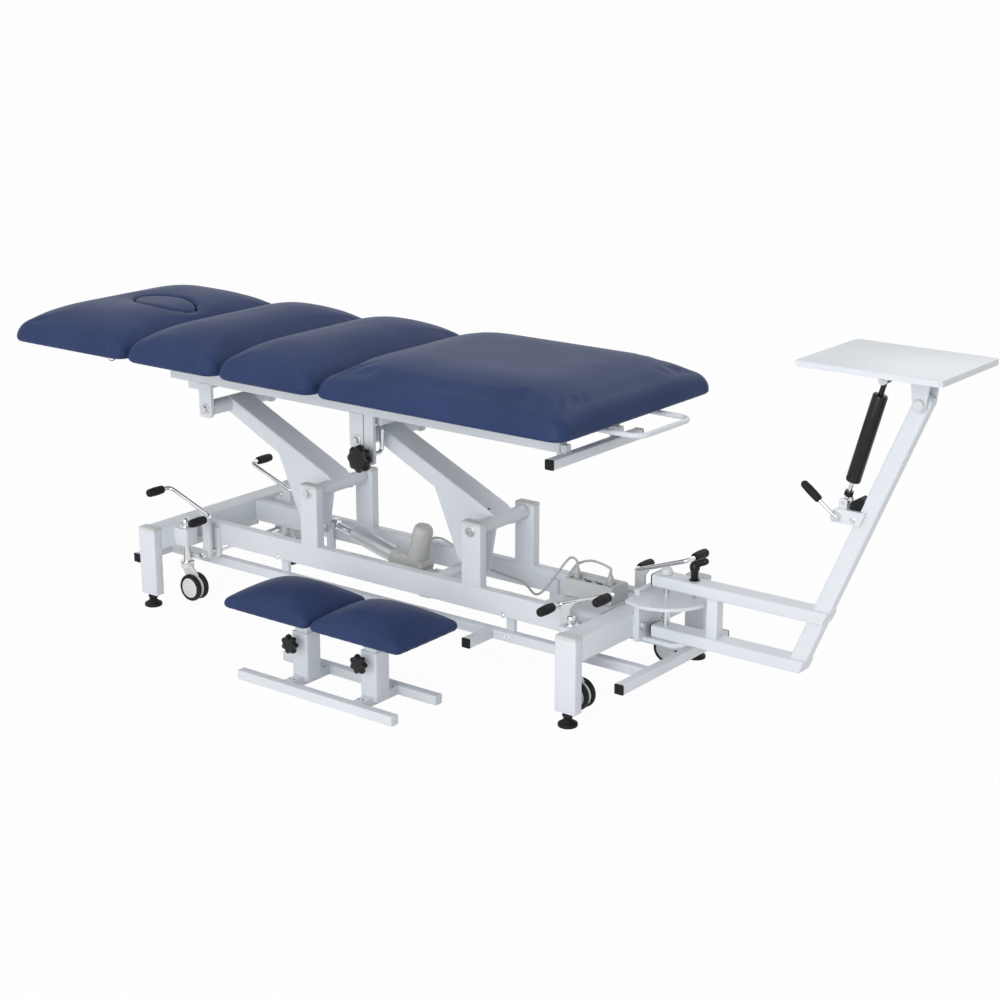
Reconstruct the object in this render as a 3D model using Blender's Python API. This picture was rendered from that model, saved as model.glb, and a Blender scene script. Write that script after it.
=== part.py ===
"""Electric traction table: driving sizes first, then one named solid for each node."""
import math
import bpy
import bmesh
from mathutils import Vector

for old in list(bpy.data.objects):
    bpy.data.objects.remove(old, do_unlink=True)

# Driving sizes, in metres. X runs along the table (head end is -X), Y across it, Z up.
GAP = 0.0004             # clearance between faces that meet
RUN = 0.0006             # clearance in a running bore
LAP = 0.002              # weld overlap inside one weldment
FOOT_X = 0.700           # table middle to foot, along X
FOOT_Y = 0.282           # table middle to foot, along Y
TUBE_W = 0.060           # wide side of the rectangular tube
TUBE_T = 0.030           # narrow side
TUBE_R = 0.004           # corner radius of a tube
LEG_Z0, LEG_Z1 = 0.036, 0.225
BEAM_Z1 = 0.222
RAIL_Z1 = 0.218
RAIL_Y = 0.111           # middle of a base rail and of a top rail
UPRIGHT_Z1 = 0.384
PIVOT_Z = 0.361
PIVOT_X = -0.258         # lower pivot of the head-end arm
PIVOT_SPAN = 0.545       # lower pivot to lower pivot
ARM_DX, ARM_DZ = -0.369, 0.174
AXLE_R = 0.010
ARM_TUBE_R = 0.023
ARM_HALF_W = 0.040
ARM_THICK = 0.050
GUSSET_T = 0.008
LEVER_R = 0.118          # pivot to actuator pin
LEVER_ANGLE = 8.96       # degrees from straight down, towards the head
ACT_ANGLE = 13.96        # actuator's rise towards the head
ACT_OFFSET = 0.0053      # body axis beside the rod axis at rest
ACT_LEN = 0.3493         # pin to pin at rest
ACT_ROD_R = 0.009
CAN_R, CAN_H = 0.027, 0.123   # motor can
TOP_RAIL_Z0 = 0.604
TOP_RAIL_X0, TOP_RAIL_X1 = -0.757, 0.555
SEAT_Z = 0.687           # underside of the cushions
CUSHION_H = 0.098
CUSHION_Y = 0.321
SECTION_X = (-1.177, -0.728, -0.391, -0.053, 0.706)
SECTION_GAP = 0.008
BOARD_Y = 0.205          # half length of the boards under the cushions
BOARD_W = 0.040
END_BAR_Y = 0.190        # half length of the bar across the rails' foot ends
CARRIAGE_L, CARRIAGE_IN = 0.620, 0.015
LOOP_OUT, LOOP_R, LOOP_ROD_R = 0.070, 0.035, 0.0065
FACE_SET = 0.172         # middle of the face hole to the head section's hinged edge
FACE_A, FACE_B = 0.105, 0.066
FACE_X = SECTION_X[1] - FACE_SET
HINGE_X, HINGE_Z, HINGE_R = -0.738, 0.655, 0.007
CASTOR_X, CASTOR_Y = 0.648, 0.198
CASTOR_TRAIL = 0.024
WHEEL_R = 0.0375
WHEEL_LIFT = 0.010       # wheel above the floor while the table stands on its feet
STEM_R = 0.011
SHAFT_X, SHAFT_Z, SHAFT_R = 0.605, 0.138, 0.008
PEDAL_Y = 0.160
PEDAL_TIP_Y = 0.245
PEDAL_ROD_R = 0.006
PEDAL_OUT, PEDAL_IN = 0.140, 0.020   # pedal bars on the two sides of the shaft
PEDAL_RISE, PEDAL_FALL = 0.164, 0.058   # outer bar above the shaft, and inner bar below the outer
BAR_Z0, BAR_S = 0.090, 0.025
BAR_END_X = 0.810
BAR_END_Y = 0.235
BAR_LONG_Y = 0.103
STAND_X = 0.785          # swing pin
STAND_Z = (0.150, 0.1595, 0.262, 0.270)
SWING_W, SWING_H = 0.050, 0.030
POST_FOOT = (1.145, 0.172)
TILT_X, TILT_Z = 1.420, 0.829
PLATE_X0, PLATE_X1, PLATE_Y = 1.181, 1.522, 0.140
PLATE_RISE = 0.087       # platform's top above its tilt pin
PLATE_Z = TILT_Z + PLATE_RISE
GAS_DROP = 0.048         # gas spring's upper pin below the platform's top
GAS_TOP = (1.327, PLATE_Z - GAS_DROP)
GAS_FOOT = (1.248, 0.582)
STOOL_X = (0.024, 0.247)
STOOL_Y = -0.445
STOOL_BAR = 0.025
STOOL_HALF_D = 0.094
STOOL_SEAT_Z = 0.1905
STOOL_SEAT_H = 0.072
STOOL_SEAT_Y0 = -0.565
STOOL_SEAT_BACK = 0.020  # seats reach past the back bar
STOOL_OVER = (0.172, 0.175)   # post to the seat's outer edge
STOOL_SPLIT = 0.006
STOOL_BAR_OVER = (0.148, 0.130)

# The part's own origin is the middle of its box, on the floor.
BOX_X = (SECTION_X[0], PLATE_X1)
BOX_Y = (STOOL_SEAT_Y0, CUSHION_Y)
OX = -(BOX_X[0] + BOX_X[1]) / 2
OY = -(BOX_Y[0] + BOX_Y[1]) / 2

parts = bpy.data.collections.new("traction_table")
cutters = bpy.data.collections.new("cutters")
bpy.context.scene.collection.children.link(parts)
bpy.context.scene.collection.children.link(cutters)

FINISH = {
    "paint": ((0.78, 0.80, 0.83, 1), 0.35, 0.0),
    "vinyl": ((0.022, 0.036, 0.115, 1), 0.45, 0.0),
    "chrome": ((0.75, 0.75, 0.76, 1), 0.15, 1.0),
    "black": ((0.012, 0.012, 0.013, 1), 0.5, 0.0),
    "grey": ((0.55, 0.56, 0.57, 1), 0.5, 0.0),
}


def material(node, finish):
    colour, rough, metal = FINISH[finish]
    m = bpy.data.materials.new(node)
    m.use_nodes = True
    p = next(n for n in m.node_tree.nodes if n.type == "BSDF_PRINCIPLED")
    p.inputs["Base Color"].default_value = colour
    p.inputs["Roughness"].default_value = rough
    p.inputs["Metallic"].default_value = metal
    m.diffuse_color = colour
    return m


def make(name, shape, collection):
    verts, faces = shape
    me = bpy.data.meshes.new(name)
    me.from_pydata([(x + OX, y + OY, z) for x, y, z in verts], [], faces)
    bm = bmesh.new()
    bm.from_mesh(me)
    bmesh.ops.recalc_face_normals(bm, faces=bm.faces)
    bm.to_mesh(me)
    bm.free()
    ob = bpy.data.objects.new(name, me)
    collection.objects.link(ob)
    return ob


def weld(ob, label, kind, shape):
    """Adds a shape to a solid, or takes it out, as one Boolean step."""
    tool = make(f"{ob.name}_{label}", shape, cutters)
    tool.display_type = "WIRE"
    tool.hide_render = True
    mod = ob.modifiers.new(label, "BOOLEAN")
    mod.operation = kind
    mod.solver = "EXACT"
    mod.object = tool


def node(name, finish, add, cut=()):
    """One solid: the first shape, with the others welded on and the cuts taken out."""
    ob = make(name, add[0], parts)
    ob.data.materials.append(material(name, finish))
    for kind, shapes in (("UNION", add[1:]), ("DIFFERENCE", cut)):
        for i, shape in enumerate(shapes):
            weld(ob, f"{kind.lower()}_{i}", kind, shape)
    return ob


def prism(points, lo, hi, axis="y"):
    """A flat outline pushed along an axis: (x, z) along y, (x, y) along z, (y, z) along x."""
    def put(p, t):
        return {"y": (p[0], t, p[1]), "z": (p[0], p[1], t), "x": (t, p[0], p[1])}[axis]
    n = len(points)
    verts = [put(p, lo) for p in points] + [put(p, hi) for p in points]
    faces = [tuple(range(n)), tuple(range(2 * n - 1, n - 1, -1))]
    faces += [(i, (i + 1) % n, (i + 1) % n + n, i + n) for i in range(n)]
    return verts, faces


def round_rect(a0, a1, b0, b1, r, steps=1):
    pts = []
    for ca, cb, start in ((a1 - r, b1 - r, 0), (a0 + r, b1 - r, 90), (a0 + r, b0 + r, 180), (a1 - r, b0 + r, 270)):
        for k in range(steps + 1):
            t = math.radians(start + 90 * k / steps)
            pts.append((ca + r * math.cos(t), cb + r * math.sin(t)))
    return pts


def box(x0, x1, y0, y1, z0, z1):
    return prism([(x0, y0), (x1, y0), (x1, y1), (x0, y1)], z0, z1, "z")


def tube(axis, a0, a1, b0, b1, lo, hi, r=TUBE_R):
    """A rectangular tube with round corners; its two section ranges follow prism's order."""
    return prism(round_rect(a0, a1, b0, b1, r), lo, hi, axis)


def sweep(path, r, n=12):
    """A round rod along a path of points, its section turned at each point; r may be one radius per point."""
    pts = [Vector(p) for p in path]
    radii = r if isinstance(r, list) else [r] * len(pts)
    verts, faces, up = [], [], None
    for i, p in enumerate(pts):
        before = (p - pts[i - 1]).normalized() if i else (pts[1] - p).normalized()
        after = (pts[i + 1] - p).normalized() if i + 1 < len(pts) else before
        t = (before + after).normalized()
        if up is None:
            up = t.orthogonal().normalized()
        side = t.cross(up).normalized()
        up = side.cross(t).normalized()
        wide = 1 / max(0.5, t.dot(after))
        bend = after - before
        bend = bend.normalized() if bend.length > 1e-6 else None
        for k in range(n):
            a = 2 * math.pi * k / n
            d = up * math.cos(a) + side * math.sin(a)
            if bend is not None:
                d = d + bend * d.dot(bend) * (wide - 1)
            verts.append(tuple(p + d * radii[i]))
    m = len(pts)
    for i in range(m - 1):
        for k in range(n):
            j = (k + 1) % n
            faces.append((i * n + k, i * n + j, (i + 1) * n + j, (i + 1) * n + k))
    faces.append(tuple(range(n - 1, -1, -1)))
    faces.append(tuple(range((m - 1) * n, m * n)))
    return verts, faces


def rounded(path, r, steps=4):
    """The same path with its inner corners bent to radius r."""
    pts = [Vector(p) for p in path]
    out = [pts[0]]
    for a, b, c in zip(pts, pts[1:], pts[2:]):
        u, v = (a - b).normalized(), (c - b).normalized()
        half = u.angle(v) / 2
        cut = r / math.tan(half)
        p, q = b + u * cut, b + v * cut
        mid = b + (u + v).normalized() * (r / math.sin(half))
        e, g = (p - mid).normalized(), (q - mid).normalized()
        turn = e.angle(g)
        for k in range(steps + 1):
            t = turn * k / steps
            out.append(mid + (e * math.sin(turn - t) + g * math.sin(t)) * (r / math.sin(turn)))
    return [tuple(p) for p in out + [pts[-1]]]


def spline(points, steps):
    """A smooth curve through the points: each stretch is the cubic that leaves along its neighbours' chord."""
    p = [Vector(q) for q in points]
    p = [2 * p[0] - p[1]] + p + [2 * p[-1] - p[-2]]
    out = []
    for a, b, c, d in zip(p, p[1:], p[2:], p[3:]):
        for k in range(steps):
            t = k / steps
            out.append(tuple((2 * b + (c - a) * t + (2 * a - 5 * b + 4 * c - d) * t ** 2 + (3 * b - a - 3 * c + d) * t ** 3) / 2))
    return out + [tuple(p[-2])]


def rod(p, q, r, n=12):
    return sweep([p, q], r, n)


def lathe(profile, at, axis="z", n=12):
    """A turned piece: (radius, height) pairs from one end to the other, about an axis through at."""
    verts, faces, rings = [], [], []
    def put(a, b, h):
        return {"z": (at[0] + a, at[1] + b, at[2] + h), "y": (at[0] + a, at[1] + h, at[2] + b)}[axis]
    for r, h in profile:
        rings.append((len(verts), r))
        if r < 1e-9:
            verts.append(put(0, 0, h))
        else:
            verts += [put(r * math.cos(2 * math.pi * k / n), r * math.sin(2 * math.pi * k / n), h) for k in range(n)]
    for (a, ra), (b, rb) in zip(rings, rings[1:]):
        for k in range(n):
            j = (k + 1) % n
            if ra < 1e-9:
                faces.append((a, b + k, b + j))
            elif rb < 1e-9:
                faces.append((a + k, a + j, b))
            else:
                faces.append((a + k, a + j, b + j, b + k))
    return verts, faces


def rings_to_solid(rings, closed):
    n = len(rings[0])
    verts = [p for ring in rings for p in ring]
    faces = []
    pairs = list(zip(range(len(rings)), range(1, len(rings)))) + ([(len(rings) - 1, 0)] if closed else [])
    for a, b in pairs:
        faces += [(a * n + k, a * n + (k + 1) % n, b * n + (k + 1) % n, b * n + k) for k in range(n)]
    if not closed:
        faces += [tuple(range(n - 1, -1, -1)), tuple(range((len(rings) - 1) * n, len(rings) * n))]
    return verts, faces


def outline(x0, x1, y0, y1, r, per=4, side=3):
    """A rounded rectangle with points along its sides too, starting at +X."""
    pts = []
    corners = ((x1 - r, y1 - r, 0), (x0 + r, y1 - r, 90), (x0 + r, y0 + r, 180), (x1 - r, y0 + r, 270))
    for c, (cx, cy, start) in enumerate(corners):
        arc = [(cx + r * math.cos(math.radians(start + 90 * k / per)), cy + r * math.sin(math.radians(start + 90 * k / per))) for k in range(per + 1)]
        pts += arc
        nx, ny, ns = corners[(c + 1) % 4]
        q = (nx + r * math.cos(math.radians(ns)), ny + r * math.sin(math.radians(ns)))
        pts += [tuple(arc[-1][i] + (q[i] - arc[-1][i]) * k / side for i in (0, 1)) for k in range(1, side)]
    return pts


def cushion_rows(x0, x1, y0, y1, height, side):
    """Inset and height of each row of a stuffed pad: welt, sides that draw in, rolled edge, crown."""
    half = min(x1 - x0, y1 - y0) / 2
    rows = [(0.006, 0.0), (0.0015, 0.006), (0.0, side * 0.35), (0.0025, side * 0.75)]
    for k in range(1, 5):
        a = math.radians(90 * k / 4)
        rows.append((0.0025 + half * 0.42 * (1 - math.cos(a)), side * 0.75 + (height * 0.86 - side * 0.61) * math.sin(a)))
    last_i, last_h = rows[-1]
    for t in (1 / 3, 2 / 3, 1):
        rows.append((last_i + (half * 0.93 - last_i) * t, last_h + (height - last_h) * (1 - (1 - t) ** 2)))
    return rows


def cushion_row(x0, x1, y0, y1, inset, per=4, side=3):
    left = min(x1 - x0, y1 - y0) / 2 - inset
    return outline(x0 + inset, x1 - inset, y0 + inset, y1 - inset, min(max(0.030 - inset * 0.4, 0.012), left * 0.9), per, side)


def cushion(x0, x1, y0, y1, z, height, side):
    return rings_to_solid([[(px, py, z + h) for px, py in cushion_row(x0, x1, y0, y1, i)] for i, h in cushion_rows(x0, x1, y0, y1, height, side)], False)


TURNS = [2 * math.pi * (k + 0.5) / 36 - math.pi for k in range(36)]


def seen_from(cx, cy, pts):
    """The outline's points at even turns about a middle, so that it can be joined to a hole there."""
    polar = sorted((math.atan2(py - cy, px - cx), math.hypot(px - cx, py - cy)) for px, py in pts)
    polar = [(polar[-1][0] - 2 * math.pi, polar[-1][1])] + polar + [(polar[0][0] + 2 * math.pi, polar[0][1])]
    out = []
    for t in TURNS:
        k = next(i for i in range(1, len(polar)) if polar[i][0] >= t)
        (ta, ra), (tb, rb) = polar[k - 1], polar[k]
        r = ra + (rb - ra) * (t - ta) / (tb - ta)
        out.append((cx + r * math.cos(t), cy + r * math.sin(t)))
    return out


def ellipse(cx, cy, a, b):
    return [(cx + math.cos(t) * r, cy + math.sin(t) * r) for t in TURNS for r in [a * b / math.hypot(b * math.cos(t), a * math.sin(t))]]


HEAD, FOOT = -1, 1
TRUNK = (HEAD, FOOT)
half_w, half_t = TUBE_W / 2, TUBE_T / 2
leg_in = FOOT_X - half_w
rail_in, rail_out = RAIL_Y - half_t, RAIL_Y + half_t
beam_z0, rail_z0 = BEAM_Z1 - TUBE_W, RAIL_Z1 - TUBE_W
pivots = (PIVOT_X, PIVOT_X + PIVOT_SPAN)
tops = tuple(x + ARM_DX for x in pivots)
top_pivot_z = PIVOT_Z + ARM_DZ

# Actuator line, worked out once and used by the base, the arm and the actuator.
lever = math.radians(LEVER_ANGLE)
lever_pin = (-LEVER_R * math.sin(lever), -LEVER_R * math.cos(lever))
pin_a = (PIVOT_X + lever_pin[0], PIVOT_Z + lever_pin[1])
act = math.radians(ACT_ANGLE)
act_run = (math.cos(act), -math.sin(act))
act_up = (math.sin(act), math.cos(act))


def on_act(s, up=0.0, y=0.0):
    return (pin_a[0] + act_run[0] * s + act_up[0] * up, y, pin_a[1] + act_run[1] * s + act_up[1] * up)


tail = on_act(ACT_LEN, ACT_OFFSET)

# End frames: a cross beam on two legs, with a sleeve for each castor's stem
for sx, end in zip(TRUNK, ("head", "foot")):
    add = [tube("y", sx * FOOT_X - half_w, sx * FOOT_X + half_w, beam_z0, BEAM_Z1, -FOOT_Y, FOOT_Y)]
    cut = []
    for sy in (-1, 1):
        add.append(tube("z", sx * FOOT_X - half_w + 0.0005, sx * FOOT_X + half_w - 0.0005, sy * FOOT_Y - half_t, sy * FOOT_Y + half_t, LEG_Z0, LEG_Z1))
        sleeve = sorted((sx * (leg_in + LAP), sx * (CASTOR_X - STEM_R - 0.012)))
        add.append(box(*sleeve, sy * CASTOR_Y - 0.0225, sy * CASTOR_Y + 0.0225, beam_z0 + 0.004, BEAM_Z1 - 0.008))
        cut.append(lathe([(0, beam_z0 - 0.012), (STEM_R + RUN, beam_z0 - 0.012), (STEM_R + RUN, BEAM_Z1 + 0.008), (0, BEAM_Z1 + 0.008)], (sx * CASTOR_X, sy * CASTOR_Y, 0)))
    node(f"end_frame_{end}", "paint", add, cut)

# Base rails with the lift's uprights, butted between the end frames
add = [tube("x", sy * RAIL_Y - half_t, sy * RAIL_Y + half_t, rail_z0, RAIL_Z1, -leg_in + GAP, leg_in - GAP) for sy in (-1, 1)]
cross_x = tail[0] + 0.030
add.insert(1, tube("y", cross_x, cross_x + 0.040, tail[2] - 0.022, tail[2] + 0.024, -rail_in - LAP, rail_in + LAP))
cut = []
for sx in TRUNK:
    for sy in (-1, 1):
        lug = sorted((sy * (rail_out - LAP), sy * (rail_out + 0.008)))
        add.append(prism([(sx * SHAFT_X - 0.020, SHAFT_Z - 0.016), (sx * SHAFT_X + 0.020, SHAFT_Z - 0.016), (sx * SHAFT_X + 0.020, RAIL_Z1 - 0.012), (sx * SHAFT_X - 0.020, RAIL_Z1 - 0.012)], *lug))
    cut.append(rod((sx * SHAFT_X, -rail_out - 0.02, SHAFT_Z), (sx * SHAFT_X, rail_out + 0.02, SHAFT_Z), SHAFT_R + RUN))
for px in pivots:
    for sy in (-1, 1):
        add.append(tube("z", px - half_w, px + half_w, sy * RAIL_Y - half_t + 0.0005, sy * RAIL_Y + half_t - 0.0005, rail_z0 + 0.02, UPRIGHT_Z1))
    cut.append(rod((px, -rail_out - 0.02, PIVOT_Z), (px, rail_out + 0.02, PIVOT_Z), AXLE_R + RUN))
for sy in (-1, 1):
    lug = sorted((sy * 0.0165, sy * 0.0225))
    add.append(prism([(tail[0] - 0.012, tail[2] - 0.012), (cross_x + LAP, tail[2] - 0.016), (cross_x + LAP, tail[2] + 0.016), (tail[0] - 0.012, tail[2] + 0.012)], *lug))
add.append(rod((tail[0], -0.0195, tail[2]), (tail[0], 0.0195, tail[2]), 0.005, 12))
add.append(box(0.490, 0.650, -rail_in - LAP, rail_in + LAP, RAIL_Z1 - 0.012, RAIL_Z1 - 0.006))
node("base_frame", "paint", add, cut)

for sx, end in zip(TRUNK, ("head", "foot")):
    for sy, side in ((-1, "front"), (1, "back")):
        at = (sx * FOOT_X, sy * FOOT_Y, 0)
        node(f"level_foot_{end}_{side}", "black", [lathe([(0, 0), (0.023, 0), (0.024, 0.002), (0.024, 0.009), (0.0105, 0.017), (0.0105, 0.024), (0.0135, 0.0245), (0.0135, LEG_Z0 - GAP), (0, LEG_Z0 - GAP)], at)])

# Axles of the lift, with a bolt head at each end
axle = [(0, -0.009), (AXLE_R + 0.004, -0.009), (AXLE_R + 0.006, -0.006), (AXLE_R + 0.006, 0)]
for name, xs, z, reach in (("lower", pivots, PIVOT_Z, rail_out + GAP), ("upper", tops, top_pivot_z, rail_out + GAP)):
    for x, end in zip(xs, ("head", "foot")):
        profile = [(r, -reach + h) for r, h in axle] + [(AXLE_R, -reach), (AXLE_R, reach)] + [(r, reach - h) for r, h in reversed(axle)]
        node(f"{name}_axle_{end}", "chrome", [lathe(profile, (x, 0, z), "y", 12)])

# Lift arms: box, two pivot tubes, two gusset plates that carry on into the actuator lever
arm_len = math.hypot(ARM_DX, ARM_DZ)
arm_u = (ARM_DX / arm_len, ARM_DZ / arm_len)
arm_n = (ARM_DZ / arm_len, -ARM_DX / arm_len)


def on_arm(px, t, n):
    return (px + arm_u[0] * t + arm_n[0] * n, PIVOT_Z + arm_u[1] * t + arm_n[1] * n)


for px, end in zip(pivots, ("head", "foot")):
    low_half, top_half = rail_in - 3 * GAP, RAIL_Y + half_t - 0.010 - 3 * GAP
    h = ARM_THICK / 2
    pin = (px + lever_pin[0], PIVOT_Z + lever_pin[1])
    plate = [on_arm(px, 0.26, 0.004), on_arm(px, 0.25, -0.028), (pin[0] - 0.020, pin[1] + 0.004), (pin[0] - 0.012, pin[1] - 0.016), (pin[0] + 0.012, pin[1] - 0.016), (px + 0.030, PIVOT_Z - 0.016), on_arm(px, 0.0, 0.014)]
    add = [prism([on_arm(px, 0, -h), on_arm(px, 0, h), on_arm(px, arm_len, h * 0.82), on_arm(px, arm_len, -h * 0.82)], -ARM_HALF_W, ARM_HALF_W),
           rod((px, -low_half, PIVOT_Z), (px, low_half, PIVOT_Z), ARM_TUBE_R, 14),
           rod((px + ARM_DX, -top_half, top_pivot_z), (px + ARM_DX, top_half, top_pivot_z), ARM_TUBE_R - 0.002, 14)]
    for sy in (-1, 1):
        add.append(prism(plate, *sorted((sy * (ARM_HALF_W - LAP), sy * (ARM_HALF_W + GUSSET_T)))))
    add.append(rod((pin[0], -ARM_HALF_W - 0.004, pin[1]), (pin[0], ARM_HALF_W + 0.004, pin[1]), 0.006, 12))
    cut = [rod((px, -rail_out - 0.024, PIVOT_Z), (px, rail_out + 0.024, PIVOT_Z), AXLE_R + RUN), rod((px + ARM_DX, -rail_out - 0.024, top_pivot_z), (px + ARM_DX, rail_out + 0.024, top_pivot_z), AXLE_R + RUN)]
    node(f"lift_arm_{end}", "paint", add, cut)

# Actuator: rod with its eye on the lever, body with gear head and motor on the base
bore_r = ACT_ROD_R + ACT_OFFSET + 0.0015
gear0, gear1, can_s = ACT_LEN - 0.0993, ACT_LEN - 0.0213, ACT_LEN - 0.0593
add = [rod(on_act(0.006), on_act(ACT_LEN - 0.1843), ACT_ROD_R), rod(on_act(0, 0, -0.012), on_act(0, 0, 0.012), 0.015)]
node("actuator_rod", "chrome", add, [rod(on_act(0, 0, -0.02), on_act(0, 0, 0.02), 0.006 + RUN, 12)])
add = [rod(on_act(0.072, ACT_OFFSET), on_act(ACT_LEN - 0.0873, ACT_OFFSET), bore_r + 0.0068, 16),
       rod(on_act(ACT_LEN - 0.1343, ACT_OFFSET), on_act(ACT_LEN - 0.0973, ACT_OFFSET), bore_r + 0.0105, 16),
       prism([(on_act(s, ACT_OFFSET + n)[0], on_act(s, ACT_OFFSET + n)[2]) for s, n in ((gear0, -0.024), (gear1 - 0.006, -0.024), (gear1, -0.012), (gear1, 0.020), (gear1 - 0.010, 0.030), (gear0, 0.030))], -0.025, 0.025),
       rod(on_act(can_s, ACT_OFFSET + 0.02), on_act(can_s, ACT_OFFSET + CAN_H - 0.005), CAN_R, 16),
       rod(on_act(can_s, ACT_OFFSET + CAN_H - 0.011), on_act(can_s, ACT_OFFSET + CAN_H), CAN_R - 0.005, 16),
       prism([(on_act(s, ACT_OFFSET + n)[0], on_act(s, ACT_OFFSET + n)[2]) for s, n in ((gear1 - 0.008, -0.011), (ACT_LEN, -0.011), (ACT_LEN + 0.009, -0.006), (ACT_LEN + 0.009, 0.006), (ACT_LEN, 0.011), (gear1 - 0.008, 0.011))], -0.015, 0.015)]
node("actuator_body", "grey", add, [rod(on_act(0.060, ACT_OFFSET), on_act(ACT_LEN - 0.1273, ACT_OFFSET), bore_r, 16), rod((tail[0], -0.03, tail[2]), (tail[0], 0.03, tail[2]), 0.005 + RUN, 12)])

# Control box and the motor's lead along the back rail
BOX = (0.505, 0.645, -0.030, 0.046, RAIL_Z1 - 0.006 + GAP, RAIL_Z1 + 0.042)
PLUG_R, PLUG_H, LEAD_R = 0.0085, 0.030, 0.003
add = [prism(round_rect(BOX[0], BOX[1], BOX[2], BOX[3], 0.008, 3), BOX[4], BOX[5] - 0.006, "z"),
       prism(round_rect(BOX[0] + 0.003, BOX[1] - 0.003, BOX[2] + 0.003, BOX[3] - 0.003, 0.007, 3), BOX[5] - 0.01, BOX[5], "z")]
plug_y = (BOX[2] + BOX[3]) / 2 - 0.014
plugs = (BOX[0] + 0.022, BOX[1] - 0.018)
trough = [(BOX[2] + 0.012, BOX[5] - 0.008), (plug_y + 0.016, BOX[5] - 0.008), (plug_y + 0.020, BOX[5] + 0.002), (BOX[2] + 0.008, BOX[5] + 0.002)]
for x in plugs:
    add.append(lathe([(0, -0.012), (PLUG_R, -0.012), (PLUG_R, PLUG_H - 0.014), (0.7 * PLUG_R, PLUG_H - 0.004), (0.6 * PLUG_R, PLUG_H), (0, PLUG_H)], (x, plug_y, BOX[5])))
shell = node("control_box", "grey", add[:2], [prism(trough, BOX[0] + 0.008, BOX[1] - 0.008, "x")])
for k, shape in enumerate(add[2:]):
    weld(shell, f"plug_{k}", "UNION", shape)
motor = on_act(can_s, ACT_OFFSET + 0.070)
out_z = BOX[5] + PLUG_H + GAP
lead = [(plugs[0], plug_y, out_z), (plugs[0], plug_y, out_z + 0.004), (plugs[0], plug_y, out_z + 0.010), (plugs[0] - 0.014, plug_y, out_z + 0.016), (plugs[0] - 0.036, plug_y + 0.004, out_z), (0.400, 0.010, 0.184), (0.300, 0.066, 0.182), (0.150, 0.074, 0.196), (motor[0] + 0.034, 0.074, motor[2] - 0.010), (motor[0] + 0.004, 0.062, motor[2]), (motor[0], 0.046, motor[2]), (motor[0], CAN_R + GAP, motor[2])]
node("motor_lead", "grey", [sweep(spline(lead, 3), LEAD_R, 6)])
lead = [(plugs[1], plug_y, out_z), (plugs[1], plug_y, out_z + 0.004), (plugs[1], plug_y, out_z + 0.010), (plugs[1] - 0.024, plug_y, out_z + 0.017), (plugs[1] - 0.070, plug_y + 0.014, out_z + 0.013), (BOX[0] + 0.006, plug_y + 0.024, out_z - 0.008), (BOX[0] - 0.016, plug_y + 0.024, BOX[5] - 0.008), (BOX[0] - 0.026, plug_y + 0.024, BOX[4] + 0.008), (BOX[0] - 0.036, 0.026, BOX[4] - 0.020), (BOX[0] - 0.044, 0.050, BOX[4] - 0.030), (BOX[0] - 0.046, 0.080, BOX[4] - 0.030), (BOX[0] - 0.046, rail_in - GAP, BOX[4] - 0.030)]
node("switch_lead", "grey", [sweep(spline(lead, 3), LEAD_R, 6)])

# Top frame
z0, z1 = TOP_RAIL_Z0, TOP_RAIL_Z0 + TUBE_W
add = [tube("x", -rail_out, -rail_in, z0, z1, TOP_RAIL_X0, TOP_RAIL_X1), tube("x", rail_in, rail_out, z0, z1, TOP_RAIL_X0, TOP_RAIL_X1)]
cut = []
for x in (TOP_RAIL_X0 + 0.037, tops[1] + 0.002):
    add.insert(1, tube("y", x, x + TUBE_W, z0 - 0.028, z1 - 0.014, -rail_in - LAP, rail_in + LAP))
for x, w in ((SECTION_X[1] + 0.024, BOARD_W), (SECTION_X[2] - 0.75 * BOARD_W, 1.5 * BOARD_W), (SECTION_X[3] - 0.055, BOARD_W)):
    add.append(box(x, x + w, -BOARD_Y, BOARD_Y, z1 - 0.003, SEAT_Z - GAP))
end_x = TOP_RAIL_X1 + 0.006
add.append(tube("y", end_x, end_x + 0.025, z0 - 0.024, z0 + 0.001, -END_BAR_Y, END_BAR_Y, 0.003))
for sy in (-1, 1):
    add.append(box(TOP_RAIL_X1 - 0.010, end_x + 0.012, sy * RAIL_Y - 0.010, sy * RAIL_Y + 0.010, z0 - 0.012, z0 + 0.02))
    drop = sorted((sy * (rail_out - 0.0100), sy * (rail_out - 0.0005)))
    for x in tops:
        add.append(prism([(x - 0.023, z0 + 0.02), (x + 0.023, z0 + 0.02), (x + 0.023, top_pivot_z - 0.012), (x + 0.012, top_pivot_z - 0.024), (x - 0.012, top_pivot_z - 0.024), (x - 0.023, top_pivot_z - 0.012)], *drop))
for x in tops:
    cut.append(rod((x, -rail_out - 0.034, top_pivot_z), (x, rail_out + 0.034, top_pivot_z), AXLE_R + RUN))
cut.append(rod((HINGE_X, -rail_out - 0.034, HINGE_Z), (HINGE_X, rail_out + 0.034, HINGE_Z), HINGE_R + RUN))
lock_x, lock_z = tops[1] + 0.042, top_pivot_z - 0.035
add.append(box(lock_x - 0.015, lock_x + 0.015, -rail_out + 0.0005, -rail_out + 0.0100, lock_z - 0.022, z0 + 0.02))
cut.append(rod((lock_x, -rail_out - 0.034, lock_z), (lock_x, -rail_out + 0.026, lock_z), 0.006 + RUN, 12))
node("top_frame", "paint", add, cut)


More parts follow.
